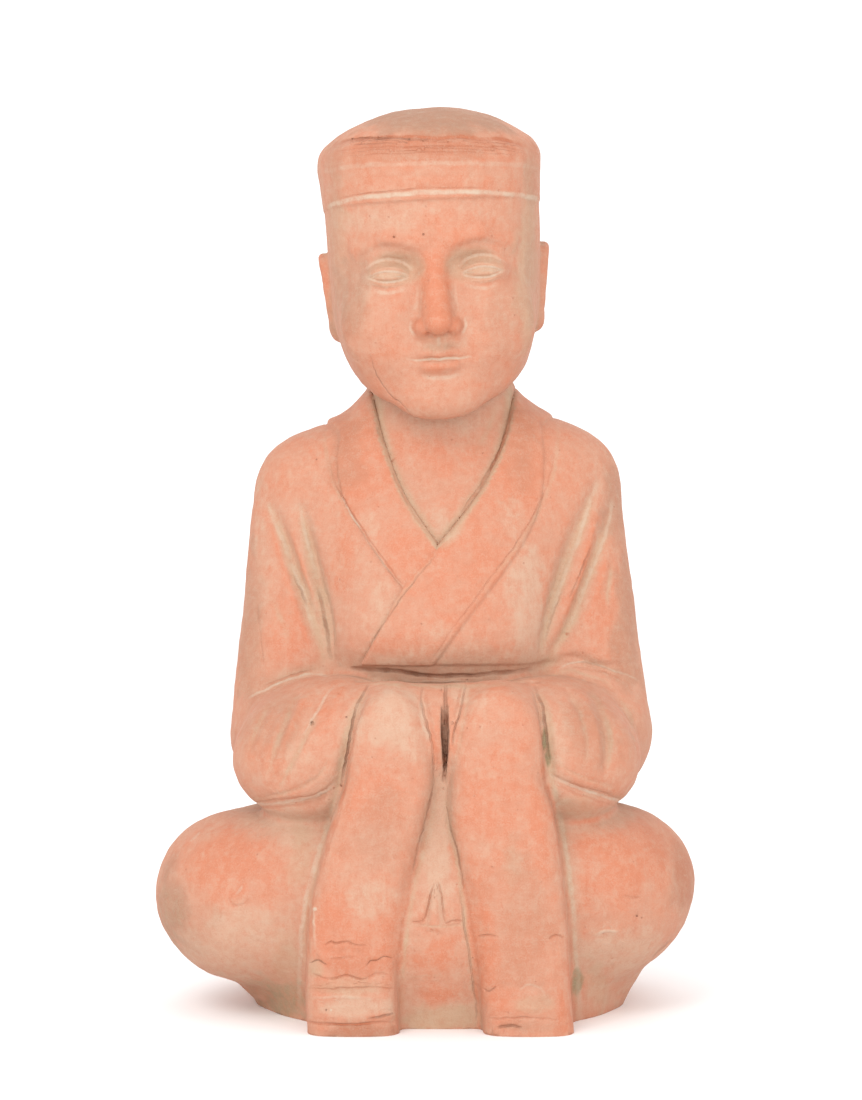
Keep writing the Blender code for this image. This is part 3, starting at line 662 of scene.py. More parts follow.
def evaluated_copy(mesh, add_modifier):
    """The mesh as it is after one modifier, as a new mesh."""
    helper = placed("clay", mesh)
    add_modifier(helper)
    bpy.context.view_layer.update()
    made = bpy.data.meshes.new_from_object(helper.evaluated_get(bpy.context.evaluated_depsgraph_get()))
    bpy.data.objects.remove(helper)
    bpy.data.meshes.remove(mesh)
    return made


def remeshed(mesh, voxel):
    def add(helper):
        modifier = helper.modifiers.new("Remesh", "REMESH")
        modifier.mode = "VOXEL"
        modifier.voxel_size = voxel

    return evaluated_copy(mesh, add)


def rough_clay():
    """Every mass as a rough primitive, all in one mesh and not yet joined."""
    bm = bmesh.new()
    for mass in (TRUNK, FOOT, NECK, CUFFS, WEST_PANEL, EAST_PANEL, *LEGS, *WEST_ARM, *EAST_ARM):
        mass.rough(bm)
    head = bmesh.new()
    for mass in (SKULL, CAP_ROUGH):
        mass.rough(head)
    turn = Matrix(HEAD_TURN.tolist()).to_4x4()
    bmesh.ops.transform(head, matrix=Matrix.Translation(Vector(at(*HEAD_PIVOT))) @ turn, verts=head.verts)
    part = mesh_of(head, "head")
    bm.from_mesh(part)
    bpy.data.meshes.remove(part)
    return mesh_of(bm, "clay")


def vectors_of(items, name):
    flat = np.empty(len(items) * 3, np.float32)
    items.foreach_get(name, flat)
    return flat.reshape(-1, 3).astype(float)


def points_and_normals(mesh):
    return vectors_of(mesh.vertices, "co"), vectors_of(mesh.vertex_normals, "vector")


def move_points(mesh, points):
    mesh.vertices.foreach_set("co", points.astype(np.float32).ravel())
    mesh.update()


def settle(mesh, rounds, furthest):
    """Moves the points onto the blended masses, evening out their spacing in all but the last two rounds."""
    for turn in range(rounds):
        points, normals = points_and_normals(mesh)
        step = np.clip(figure_distance(points), -furthest, furthest)
        move_points(mesh, points - normals * step[:, None])
        if turn < rounds - 2:
            with reworked(mesh) as bm:
                axes = {"use_axis_" + axis: True for axis in "xyz"}
                bmesh.ops.smooth_vert(bm, verts=bm.verts, factor=EVENING_OUT, **axes)


def cut_ground(mesh):
    """Cuts the clay flat at the ground and closes the cut."""
    with reworked(mesh) as bm:
        everything = [*bm.verts, *bm.edges, *bm.faces]
        cut = bmesh.ops.bisect_plane(
            bm, geom=everything, dist=1e-7, plane_co=(0, 0, 0), plane_no=(0, 0, -1), clear_outer=True
        )
        rim = [item for item in cut["geom_cut"] if isinstance(item, bmesh.types.BMEdge)]
        bmesh.ops.contextual_create(bm, geom=rim)


# The photograph's viewpoint. Rows and columns are pixels of the photograph, 862 wide and 1100 high.
PHOTO_WIDTH, PHOTO_HEIGHT = 862.0, 1100.0
CAMERA_AWAY = 1500.0 * UNIT
CAMERA_LEVEL = 270.0 * UNIT
FOCAL_LENGTH = 2348.0
MIDDLE_COLUMN = 437.0
LEVEL_ROW = 569.0
SENSOR = 36.0

# How far round each place the clay is judged to be narrow, hollow or raised, and how deep a full crease is.
NARROW_REACH = 5.0 * UNIT
HOLLOW_REACH = 18.0 * UNIT
RAISED_REACH = 9.0 * UNIT
CREASE_DEPTH = 3.5 * UNIT
# A stroke with a smaller half width than this is drawn as a fine line, as far as its reach on each side.
BROAD_LINE = 2.5
LINE_REACH = 4.2
# How near a fine line the mesh is split, and how much the thinning spares it there.
FINE_REACH = 3.6
FINE_FAVOUR = 0.0006 * UNIT
TINTS = ("cream", "silt", "slip", "rubbed", "rust", "umber", "soot", "moss")
LINE_TINTS = ("cream", "silt", "rust", "soot")

# Lines worked into the clay: tint, depth in millimetres, half width and strength, then (column, row) along
# each. A depth below nothing stands proud. Half widths are in pixels of the photograph.
STROKES = (
    # Cap
    ("cream", 0.4, 2.4, 1.0, (327, 208), (340, 202), (370, 197), (415, 193), (460, 192), (500, 193),
     (530, 197), (540, 201)),
    ("cream", 0.1, 2.4, 0.4, (323, 172), (345, 167), (385, 165), (440, 163), (490, 164), (520, 165),
     (538, 168)),
    ("rust", 0.4, 1.8, 1.0, (334, 147), (345, 141), (372, 138), (405, 137), (440, 138), (480, 138),
     (510, 141), (528, 148)),
    ("rust", 0.4, 4.4, 1.0, (326, 152), (340, 144), (372, 139), (405, 137), (440, 138), (480, 137),
     (510, 141), (532, 151)),
    ("soot", 0.5, 1.0, 0.6, (340, 142), (352, 139), (372, 138), (395, 138), (418, 140), (428, 139)),
    ("rust", 0.15, 0.7, 0.6, (336, 151), (380, 147), (440, 146), (500, 147), (526, 152)),
    ("rust", 0.15, 0.6, 0.5, (345, 157), (400, 153), (470, 152), (520, 156)),
    ("soot", 0.2, 0.6, 0.4, (352, 145), (366, 144), (384, 143), (398, 144)),
    ("rust", 0.1, 3.4, 0.45, (330, 181), (370, 177), (420, 175), (470, 175), (520, 178)),
    ("rust", 0.0, 0.8, 0.7, (340, 198), (370, 193), (415, 189), (460, 188), (486, 188)),
    # Neck and collar
    # The two broad dark strokes paint the shade in the gap between the neck and the collar edges
    ("soot", 0.6, 4.2, 0.9, (371, 399), (374, 415), (378, 434), (384, 452)),
    ("silt", 0.0, 5.0, 1.0, (384, 440), (393, 470), (406, 500), (422, 528), (438, 548)),
    ("silt", 0.0, 6.5, 1.0, (506, 414), (502, 445), (488, 475), (470, 506), (454, 532), (440, 550)),
    ("soot", 0.0, 3.0, 0.4, (506, 404), (500, 436), (488, 466), (474, 490)),
    ("silt", 0.2, 3.4, 0.55, (497, 404), (488, 430), (474, 456)),
    ("rust", 0.4, 1.5, 0.9, (513, 406), (506, 434), (494, 462), (478, 490), (462, 514)),
    ("rust", 0.2, 1.2, 0.6, (386, 455), (396, 480), (410, 508), (427, 535)),
    ("silt", 0.3, 2.2, 0.7, (325, 432), (326, 450), (331, 474), (341, 500), (354, 524)),
    ("cream", 0.3, 1.0, 1.0, (341, 496), (347, 507), (354, 519), (361, 530)),
    ("cream", 0.2, 1.0, 0.5, (361, 530), (374, 550), (390, 572), (404, 588)),
    ("rust", 0.4, 0.8, 0.6, (329, 462), (335, 482), (346, 503), (366, 534), (388, 566), (403, 585)),
    ("silt", 0.0, 2.6, 0.5, (437, 552), (420, 573), (398, 602), (378, 632), (362, 660)),
    ("silt", 0.2, 2.4, 0.6, (558, 425), (557, 455), (548, 490), (532, 522), (510, 556), (482, 592)),
    ("rust", 0.3, 0.8, 0.55, (555, 452), (545, 490), (527, 526), (504, 561), (477, 597), (450, 632),
     (430, 664)),
    ("soot", 0.3, 0.7, 0.4, (438, 552), (421, 573), (399, 602), (379, 632), (363, 660)),
    # Hem of the crossed robe, with painted shadow in the dark strokes under its overhang
    ("soot", 0.5, 2.2, 1.0, (350, 668), (362, 669), (392, 671), (425, 675), (462, 676), (500, 673),
     (533, 669)),
    ("soot", 0.0, 4.5, 0.6, (372, 671), (400, 674), (440, 677), (480, 676), (515, 672)),
    ("silt", 0.0, 2.6, 0.8, (356, 680), (392, 684), (440, 686), (490, 685), (530, 680)),
    ("cream", -0.2, 1.0, 0.5, (400, 681), (424, 682), (448, 681), (470, 682)),
    # Creases at the elbows
    ("cream", 0.9, 1.2, 0.9, (246, 699), (260, 692), (274, 686), (292, 679), (309, 674), (320, 675),
     (330, 677)),
    ("rust", 0.2, 1.4, 0.8, (262, 688), (278, 682), (296, 675), (313, 670)),
    ("soot", 0.3, 2.8, 0.3, (250, 695), (262, 690), (276, 684)),
    ("cream", 0.5, 1.0, 0.7, (556, 670), (568, 665), (581, 662), (593, 664), (608, 669), (629, 676),
     (638, 681)),
    ("silt", 0.6, 1.8, 0.7, (548, 678), (558, 673), (570, 671), (584, 674), (602, 680), (616, 690)),
    ("rust", 0.2, 1.2, 0.6, (572, 668), (590, 669), (610, 675), (630, 684)),
    # Folds of the west arm
    ("silt", 1.2, 4.2, 0.7, (268, 503), (271, 511), (281, 533), (288, 553), (296, 575), (305, 596),
     (312, 617), (320, 641), (324, 664)),
    ("silt", 1.2, 4.2, 0.7, (300, 502), (303, 515), (307, 536), (312, 560), (317, 585), (323, 607),
     (328, 635), (332, 664)),
    ("silt", 0.0, 4.0, 0.5, (322, 575), (328, 600), (333, 630), (338, 658)),
    # Painted shade in the deepest folds
    ("soot", 0.9, 1.7, 0.65, (318, 588), (322, 603), (325, 620), (328, 638), (331, 660)),
    ("soot", 0.5, 1.2, 0.45, (294, 575), (300, 590), (308, 608)),
    ("rubbed", -0.8, 3.4, 1.0, (270, 522), (277, 548), (286, 573), (298, 610), (308, 640), (316, 664)),
    ("rubbed", -0.8, 3.0, 1.0, (290, 528), (298, 553), (306, 578), (313, 600)),
    ("silt", 0.6, 4.2, 0.55, (270, 592), (275, 608), (282, 624), (290, 640)),
    ("soot", 0.3, 0.7, 0.2, (258, 604), (259, 620), (261, 640), (264, 668)),
    ("cream", 0.0, 2.0, 0.6, (267, 501), (277, 528), (288, 553), (298, 580), (308, 610), (314, 632)),
    ("cream", 0.0, 1.8, 0.55, (299, 500), (304, 525), (310, 552), (316, 580)),
    # Folds of the east arm
    ("silt", 1.3, 4.8, 0.7, (598, 480), (590, 504), (581, 529), (571, 553), (563, 577), (555, 598),
     (549, 618), (543, 638), (540, 662)),
    ("silt", 1.2, 4.2, 0.7, (612, 500), (607, 528), (599, 548), (590, 573), (581, 597), (573, 618),
     (562, 637), (551, 656), (543, 672)),
    ("silt", 0.6, 3.2, 0.6, (612, 560), (609, 580), (607, 606)),
    ("rubbed", -1.0, 3.0, 1.0, (600, 503), (593, 529), (584, 564), (574, 596), (564, 618)),
    ("rubbed", -0.8, 3.0, 1.0, (607, 552), (600, 584), (592, 612)),
    # Painted shade in the deepest folds
    ("soot", 0.5, 1.0, 0.4, (590, 548), (580, 574), (570, 600)),
    ("soot", 0.4, 1.0, 0.35, (562, 590), (552, 616), (545, 640)),
    ("silt", 0.0, 4.0, 0.45, (566, 556), (556, 582), (547, 612), (538, 645)),
    ("cream", 0.0, 2.0, 0.6, (599, 478), (589, 506), (580, 532), (570, 558), (561, 584), (552, 612)),
    ("cream", 0.0, 1.8, 0.55, (613, 498), (607, 530), (599, 552), (589, 577), (579, 604), (569, 628)),
    # Sleeves
    ("cream", 0.9, 1.4, 0.75, (334, 684), (322, 704), (312, 720), (304, 735)),
    ("silt", 1.8, 3.2, 0.7, (300, 690), (288, 715), (276, 745), (266, 778)),
    ("silt", 1.6, 3.0, 0.7, (318, 714), (304, 742), (290, 768), (280, 790)),
    ("silt", 1.5, 3.0, 0.6, (272, 700), (258, 725), (248, 752)),
    ("rubbed", -1.1, 3.6, 0.9, (310, 690), (296, 715), (284, 745), (274, 775)),
    ("rubbed", -0.9, 3.4, 0.9, (345, 688), (334, 706), (328, 728)),
    ("silt", 1.7, 3.0, 0.7, (590, 690), (603, 712), (610, 740), (607, 772)),
    ("silt", 1.4, 3.0, 0.6, (566, 688), (580, 712), (588, 742), (586, 768)),
    ("silt", 1.3, 3.0, 0.55, (616, 694), (630, 716), (634, 744)),
    ("rubbed", -1.1, 3.6, 0.9, (578, 690), (592, 712), (599, 742), (597, 770)),
    ("cream", 0.9, 1.6, 0.75, (246, 806), (268, 804), (290, 801), (310, 797), (325, 791), (336, 781)),
    ("silt", 0.7, 2.2, 0.6, (252, 799), (276, 796), (300, 788), (318, 776), (330, 760)),
    ("rust", 0.0, 1.4, 0.5, (250, 810), (280, 807), (306, 803), (326, 797)),
    ("cream", 0.9, 1.6, 0.75, (549, 774), (562, 781), (580, 789), (600, 795), (618, 801), (632, 808)),
    ("silt", 0.5, 2.2, 0.5, (556, 762), (574, 774), (596, 782), (614, 788)),
    ("rust", 0.0, 1.4, 0.5, (556, 784), (576, 794), (598, 801), (620, 808)),
    # Edges of the hanging sleeves; the dark strokes paint shade in the grooves and down the slit between the
    # sleeve ends
    ("soot", 1.4, 1.3, 0.9, (369, 684), (360, 698), (354, 716), (350, 738), (347, 756), (344, 772),
     (341, 786)),
    ("silt", 0.5, 3.4, 0.7, (362, 690), (352, 712), (346, 740), (341, 768), (336, 796), (330, 818),
     (322, 845), (314, 880), (306, 915), (303, 960), (300, 1010)),
    ("rust", -0.5, 1.8, 0.7, (357, 714), (353, 740), (348, 772), (341, 802), (333, 832), (324, 862),
     (316, 890)),
    ("rust", 0.3, 2.6, 0.8, (312, 892), (309, 905), (307, 920), (308, 940), (308, 960), (306, 978),
     (305, 996), (306, 1018), (308, 1034)),
    ("soot", 1.4, 1.5, 0.8, (534, 686), (541, 702), (545, 722), (547, 742), (549, 760)),
    ("silt", 0.5, 3.6, 0.8, (540, 690), (549, 714), (552, 742), (551, 768), (557, 800), (563, 835),
     (568, 870), (572, 905), (575, 945), (577, 990), (578, 1028)),
    ("rust", -0.5, 1.8, 0.6, (538, 716), (541, 745), (544, 775), (552, 806), (558, 838), (562, 868)),
    ("rust", 0.3, 2.6, 0.8, (562, 878), (568, 905), (571, 940), (572, 980), (574, 1010), (576, 1028)),
    ("soot", 0.7, 1.0, 0.55, (422, 685), (421, 700), (423, 711), (428, 726), (431, 742), (433, 760),
     (434, 778)),
    ("cream", 0.4, 1.8, 0.6, (420, 702), (421, 714), (425, 728), (428, 742)),
    ("rust", -0.5, 1.8, 0.6, (426, 690), (427, 706), (432, 724), (435, 744), (437, 764)),
    ("soot", 0.6, 0.9, 0.5, (434, 784), (429, 803), (424, 827), (419, 845), (413, 872)),
    ("rust", 0.2, 2.6, 0.85, (412, 872), (409, 892), (403, 922), (400, 945), (397, 976), (396, 1006),
     (397, 1034)),
    ("silt", 0.3, 3.2, 0.75, (436, 800), (427, 838), (418, 872), (412, 900), (407, 935), (403, 975),
     (401, 1028)),
    ("soot", 0.6, 0.9, 0.55, (466, 683), (462, 701), (458, 717), (454, 731), (452, 746)),
    ("silt", 0.4, 2.0, 0.6, (469, 688), (465, 712), (461, 735), (456, 760)),
    ("rust", -0.4, 1.4, 0.6, (462, 684), (458, 700), (453, 718)),
    ("soot", 0.6, 0.9, 0.6, (446, 806), (451, 830), (456, 848), (460, 868), (464, 890)),
    ("silt", 0.4, 3.0, 0.8, (444, 796), (450, 826), (457, 860), (462, 895), (466, 935), (472, 972),
     (478, 1028)),
    ("soot", 0.4, 1.0, 0.45, (460, 890), (465, 931), (471, 968), (476, 1001), (477, 1028)),
    ("rust", 0.2, 2.8, 0.85, (463, 872), (467, 895), (470, 920), (476, 950), (480, 982), (483, 1028)),
    # Painted shade down the slit between the sleeve ends
    ("soot", 1.6, 1.6, 0.9, (445.6, 684), (445, 700), (445, 712), (445.6, 730), (445.6, 750), (444.4, 768),
     (443.5, 782)),
    # Pale lines in the grooves beside the hanging sleeves: pale slip, and painted light that lifts the
    # grooves' shade
    ("cream", 0.0, 2.2, 0.55, (339, 792), (325, 832), (313, 872), (303, 915), (300, 960), (299, 1010)),
    ("cream", 0.0, 2.2, 0.55, (554, 778), (566, 850), (573, 905), (577, 960), (581, 1020)),
    # Pleat and step between the hanging sleeves
    ("rust", 0.7, 0.8, 0.95, (433, 884), (430, 898), (427, 910), (425, 920)),
    ("rust", 0.7, 0.8, 0.95, (438, 882), (441, 893), (443, 906), (445, 922)),
    ("rust", 0.5, 0.9, 0.9, (412, 922), (418, 922), (425, 921)),
    ("rust", 0.5, 0.9, 0.9, (445, 923), (454, 921), (463, 921)),
    ("silt", 0.5, 1.5, 0.6, (410, 925), (430, 926), (452, 926), (466, 925)),
    ("rust", 0.5, 2.6, 0.9, (422, 933), (428, 930), (436, 930), (445, 935)),
    ("silt", 0.0, 1.2, 0.6, (410, 977), (425, 976), (447, 976)),
    # Cracks and dents low on the hanging sleeves
    ("cream", -0.4, 1.4, 0.5, (313, 905), (314, 925), (315, 950)),
    ("rust", 0.9, 0.8, 0.8, (325, 946), (331, 941), (336, 943), (346, 941), (354, 945), (366, 946)),
    ("rust", 0.5, 0.9, 0.6, (330, 959), (342, 958), (354, 957)),
    ("soot", 0.9, 0.6, 0.6, (309, 963), (316, 960), (321, 961), (326, 965)),
    ("soot", 0.9, 0.6, 0.6, (366, 966), (370, 961), (376, 961), (384, 957), (393, 958)),
    ("rust", 0.7, 0.9, 0.8, (313, 974), (330, 978), (347, 975), (362, 979), (376, 974), (389, 975)),
    ("rubbed", 0.9, 3.4, 0.4, (322, 950), (334, 953), (350, 951), (362, 956)),
    ("rubbed", -0.9, 4.0, 0.6, (316, 970), (334, 984), (356, 986), (378, 976)),
    ("silt", 0.8, 2.8, 0.3, (312, 992), (338, 991), (366, 990), (394, 991)),
    ("rubbed", -0.5, 3.2, 0.3, (312, 1016), (340, 1017), (372, 1016), (394, 1015)),
    ("rust", 0.3, 0.9, 0.6, (308, 988), (340, 988), (370, 987), (395, 988)),
    ("cream", -0.2, 1.6, 0.4, (312, 998), (345, 997), (385, 999)),
    ("rust", 0.8, 1.2, 1.0, (307, 1022), (325, 1024), (352, 1024), (375, 1023), (395, 1022)),
    ("soot", 0.4, 0.9, 0.7, (368, 1019), (378, 1017), (388, 1015), (394, 1014)),
    ("rust", 0.6, 0.9, 0.8, (478, 936), (487, 935), (498, 937)),
    ("rust", 0.6, 0.9, 0.8, (549, 938), (556, 935), (564, 938)),
    ("cream", 0.3, 1.3, 0.4, (521, 990), (530, 985), (541, 988), (546, 996)),
    ("soot", 0.5, 0.7, 0.4, (483, 988), (489, 991), (496, 986)),
    ("rubbed", 0.8, 3.4, 0.3, (484, 990), (506, 986), (530, 989), (548, 984)),
    ("rubbed", -0.6, 3.6, 0.4, (484, 1008), (512, 1010), (544, 1008), (570, 1010)),
    ("rust", 0.4, 1.1, 0.8, (487, 1018), (505, 1019), (530, 1018), (560, 1020)),
    ("soot", 0.9, 1.2, 0.95, (497, 1028), (508, 1026), (522, 1028)),
    # Knees
    ("cream", -0.3, 1.6, 0.7, (595, 935), (606, 930), (619, 932)),
    ("cream", -0.3, 1.4, 0.5, (190, 842), (196, 838), (201, 832)),
    ("cream", -0.3, 1.4, 0.5, (236, 895), (240, 890), (243, 886)),
    ("rust", 0.3, 1.6, 0.7, (622, 896), (630, 898), (641, 897)),
    ("soot", 0.5, 0.9, 0.5, (652, 958), (662, 948), (671, 940)),
    ("rust", 0.3, 1.2, 0.5, (228, 898), (234, 905), (244, 904), (248, 897)),
    # The thin crack in the clay at the jaw
    ("soot", 0.2, 0.5, 0.5, (370, 352), (374, 368), (382, 384), (392, 396), (402, 404), (412, 414)),
)

# Soft patches of each tint: strength, then the column and row of the middle, half width and half height.
PATCHES = {
    "umber": (
        (1.0, 428, 114, 112, 24), (0.5, 334, 158, 12, 26), (0.4, 530, 156, 11, 22),
        (0.5, 420, 154, 98, 12), (0.4, 336, 180, 10, 30), (0.5, 531, 178, 10, 34), (0.45, 532, 270, 9, 70),
        (0.35, 334, 262, 8, 70), (0.65, 352, 305, 24, 50), (0.42, 508, 305, 22, 50),
        (0.5, 520, 1026, 34, 6), (0.5, 346, 450, 22, 50), (0.5, 522, 446, 22, 50),
        (0.45, 376, 830, 32, 46), (0.45, 524, 920, 36, 80), (0.85, 352, 1034, 46, 9),
        (0.7, 172, 905, 18, 50), (0.4, 196, 930, 26, 28), (0.6, 684, 868, 18, 60), (0.5, 270, 720, 36, 44),
        (0.55, 596, 730, 34, 44), (0.6, 628, 620, 16, 80), (0.6, 616, 500, 16, 50),
        (0.6, 250, 620, 18, 90), (0.3, 644, 740, 8, 30),
    ),
    "rubbed": (
        (0.8, 424, 156, 96, 12), (0.45, 430, 182, 100, 9), (0.8, 585, 870, 8, 50), (0.5, 580, 930, 6, 40),
        (0.5, 524, 940, 26, 30), (0.6, 502, 1000, 20, 20), (0.35, 450, 232, 40, 20),
        (0.85, 352, 466, 20, 44), (0.5, 405, 550, 26, 24), (0.75, 524, 466, 18, 44),
        (0.2, 470, 560, 34, 28), (0.55, 345, 560, 14, 34), (0.5, 440, 440, 34, 26),
        (0.6, 284, 640, 22, 30), (0.5, 330, 705, 14, 20), (0.5, 262, 745, 20, 34),
        (0.55, 598, 728, 26, 30), (0.45, 505, 695, 26, 12), (0.85, 374, 800, 34, 34),
        (0.6, 492, 800, 30, 44), (0.7, 540, 820, 14, 26), (0.8, 340, 930, 30, 40), (0.8, 362, 958, 38, 20),
        (0.6, 388, 935, 12, 30), (0.7, 484, 950, 16, 46), (0.45, 522, 886, 30, 60),
        (0.8, 568, 1000, 8, 32), (0.85, 440, 955, 28, 22), (0.75, 442, 992, 28, 10),
        (0.85, 225, 862, 48, 30), (0.8, 635, 862, 44, 36), (0.8, 604, 840, 36, 20),
        (0.4, 604, 590, 26, 70), (0.4, 604, 738, 34, 40), (0.35, 258, 730, 20, 40),
    ),
    "rust": (
        (0.85, 428, 145, 100, 9), (0.45, 346, 330, 10, 20), (0.6, 344, 436, 14, 20),
        (0.5, 528, 432, 14, 18), (0.5, 354, 964, 40, 14), (0.6, 380, 1018, 15, 4), (0.7, 352, 1031, 46, 7),
        (0.45, 432, 938, 9, 6), (0.75, 690, 868, 18, 50), (0.6, 668, 846, 22, 34),
    ),
    "slip": (
        (0.4, 380, 222, 44, 16), (0.5, 362, 290, 10, 20), (0.7, 370, 520, 9, 16), (0.6, 512, 520, 12, 20),
        (0.4, 450, 640, 50, 16), (0.9, 528, 600, 20, 56), (0.5, 384, 612, 16, 34), (0.5, 440, 520, 16, 16),
        (0.4, 262, 560, 9, 60), (0.4, 300, 760, 20, 20), (0.5, 560, 735, 8, 30), (0.95, 392, 722, 30, 34),
        (0.6, 458, 690, 10, 14), (0.4, 480, 715, 12, 24), (0.6, 366, 895, 26, 20), (0.4, 480, 845, 16, 14),
        # The pale patches below the sleeve slit and on the undersides of the knees are painted light, lifting
        # places the lamps leave in shade
        (0.2, 522, 900, 22, 34), (0.95, 350, 1008, 46, 11), (0.95, 437, 860, 13, 58),
        (1.0, 441, 800, 9, 24), (0.7, 294, 830, 24, 24), (0.7, 250, 935, 46, 30), (0.8, 214, 948, 40, 24),
        (0.5, 236, 970, 40, 14), (0.8, 620, 955, 40, 26), (0.5, 628, 975, 30, 16), (0.4, 618, 990, 20, 14),
        (0.5, 650, 950, 18, 24),
    ),
    "silt": (
        (0.45, 338, 262, 13, 90), (0.65, 527, 262, 13, 100), (0.4, 512, 870, 10, 34),
        (0.5, 345, 988, 42, 9), (0.7, 316, 970, 9, 10), (0.6, 528, 1004, 24, 10),
        (0.85, 441, 1018, 38, 12), (0.5, 300, 850, 14, 34), (0.55, 285, 960, 18, 34),
        (0.5, 576, 806, 18, 9), (0.5, 596, 985, 12, 30),
    ),
    "soot": (
        (0.7, 443, 124, 5, 2), (0.25, 266, 690, 12, 6), (0.22, 508, 703, 12, 4),
    ),
    "moss": (
        (0.2, 441, 790, 4, 8), (0.34, 168, 912, 14, 40), (0.6, 283, 1002, 30, 20),
        (0.45, 258, 988, 24, 14), (1.0, 545, 738, 2.5, 12), (1.0, 548, 758, 3, 11), (0.8, 577, 984, 6, 14),
    ),
}

# Small holes and specks of each tint: depth in millimetres, half width, then column and row.
PITS = {
    "soot": (
        (1.2, 1.5, 394, 237), (1.6, 1.8, 312, 722), (1.0, 1.3, 326, 1010), (1.0, 1.5, 637, 916),
        (0.8, 1.1, 642, 918), (0.8, 1.2, 352, 139), (0.8, 1.0, 378, 137), (0.9, 1.4, 409, 139),
        (0.8, 1.1, 423, 141), (0.6, 0.9, 361, 143), (0.6, 0.8, 396, 143), (0.6, 0.9, 448, 142),
        (0.6, 1.0, 413, 779), (0.6, 1.0, 536, 500), (0.5, 0.9, 459, 577), (0.5, 0.9, 489, 620),
        (0.5, 0.9, 458, 698),
    ),
    "cream": (
        (-0.4, 1.5, 331, 1010), (-0.5, 2.2, 315, 909),
    ),
    "rust": (
        (0.5, 1.2, 471, 144), (0.5, 1.0, 493, 146), (0.8, 2.0, 567, 634), (0.5, 1.2, 583, 653),
        (0.6, 1.3, 480, 727), (0.5, 1.1, 474, 796), (0.5, 1.1, 339, 694),
    ),
}

# Lids and lips in finer detail: how far raised, half width, pale slip left in it, then (out, up) from the
# middle of the face, in millimetres.
FACE_LINES = (
    (-0.9, 2.0, 0.0, (12, 67.5), (20, 70.5), (29, 71.6), (38, 69.6), (46, 65.5)),
    (0.8, 1.2, 0.0, (15.5, 53.6), (19, 56.6), (25, 58.6), (31, 58.5), (37, 56.8), (42.5, 53.8)),
    (-0.9, 1.3, 0.6, (14, 57.5), (19, 62), (27, 64.4), (35, 63.4), (43, 59.0)),
    (0.7, 1.2, 0.0, (17, 51.0), (22, 49.2), (28, 48.5), (34, 49.4), (40, 51.8)),
    (-0.6, 1.6, 0.4, (17, 46.8), (24, 44.6), (31, 44.2), (38, 46.6)),
    (-0.9, 1.0, 0.9, (15.5, 53.2), (20, 51.6), (27, 50.6), (34, 51.0), (42, 54.0)),
    (-0.9, 1.0, 0.8, (15.5, 53.4), (20, 55.6), (27, 57.0), (34, 56.6), (42, 54.0)),
    (1.0, 2.4, 0.0, (3.5, 7.4), (8, 7.4), (14, 5.2)),
    (1.3, 2.8, 0.0, (0, -1.6), (6, -1.8), (12, -0.6)),
    (-1.5, 1.0, 1.0, (0, 2.6), (4, 3.2), (8, 3.0), (13, 2.8), (19.5, 3.6)),
    (-0.6, 1.6, 0.0, (19.5, 5.2), (21, 3.2), (20.4, 0.8)),
    (-0.8, 1.5, 0.5, (0, 15), (0, 12.5), (0, 10.5)),
    (-0.9, 1.8, 0.5, (0, -8.5), (6, -8.3), (12, -6.5)),
    (-0.7, 1.3, 0.6, (16, 27), (16.8, 22), (14, 17.0)),
    (-0.4, 1.2, 0.2, (13, 31), (11.5, 40), (12, 50)),
)
# The lowered eyes, and how far forward the front of the face starts.
EYE_INNER, EYE_OUTER, EYE_LINE = 16.5, 41.5, 53.2
EYE_OPENING = 1.9
FACE_FRONT = -50


def seen_at(points):
    """The column and row at which each place shows in the photograph."""
    away = (points[:, 1] + CAMERA_AWAY) / FOCAL_LENGTH
    rows = LEVEL_ROW - (points[:, 2] - CAMERA_LEVEL) / away
    return np.column_stack((MIDDLE_COLUMN + points[:, 0] / away, rows))


def ripple(points, size, seed, waves=16):
    """A soft unevenness, mostly between -1 and 1, with swells about as wide as size."""
    chance = np.random.default_rng(seed)
    ways = chance.normal(size=(waves, 3))
    ways /= np.linalg.norm(ways, axis=1)[:, None] * size * chance.uniform(1.0, 2.6, waves)[:, None]
    return np.cos(2 * pi * (points @ ways.T) + chance.uniform(0, 2 * pi, waves)).sum(1) / waves**0.5


def close_to(flat, knots, reach):
    """The places within reach of the box round a line."""
    return np.nonzero(((flat > knots.min(0) - reach) & (flat < knots.max(0) + reach)).all(1))[0]


def facing_front(normals, from_edge, to_full):
    """1 where the clay faces the photograph's viewpoint, down to 0 where it turns away."""
    return smooth_step((-normals[:, 1] - from_edge) / (to_full - from_edge))


def side_of_line(flat, knots):
    """1 to the left of a line and -1 to its right, seen from the front."""
    middles = (knots[1:] + knots[:-1]) / 2
    runs = knots[1:] - knots[:-1]
    nearest = np.argmin(np.linalg.norm(flat[:, None] - middles[None], axis=2), axis=1)
    gap = flat - middles[nearest]
    run = runs[nearest]
    return np.where(gap[:, 0] * run[:, 1] - gap[:, 1] * run[:, 0] > 0, 1.0, -1.0)


def strengthen(marks, tint, values, near=slice(None)):
    """Keeps the stronger of a tint's mark and the new values, everywhere or at the places given."""
    marks[tint][near] = np.maximum(marks[tint][near], values)


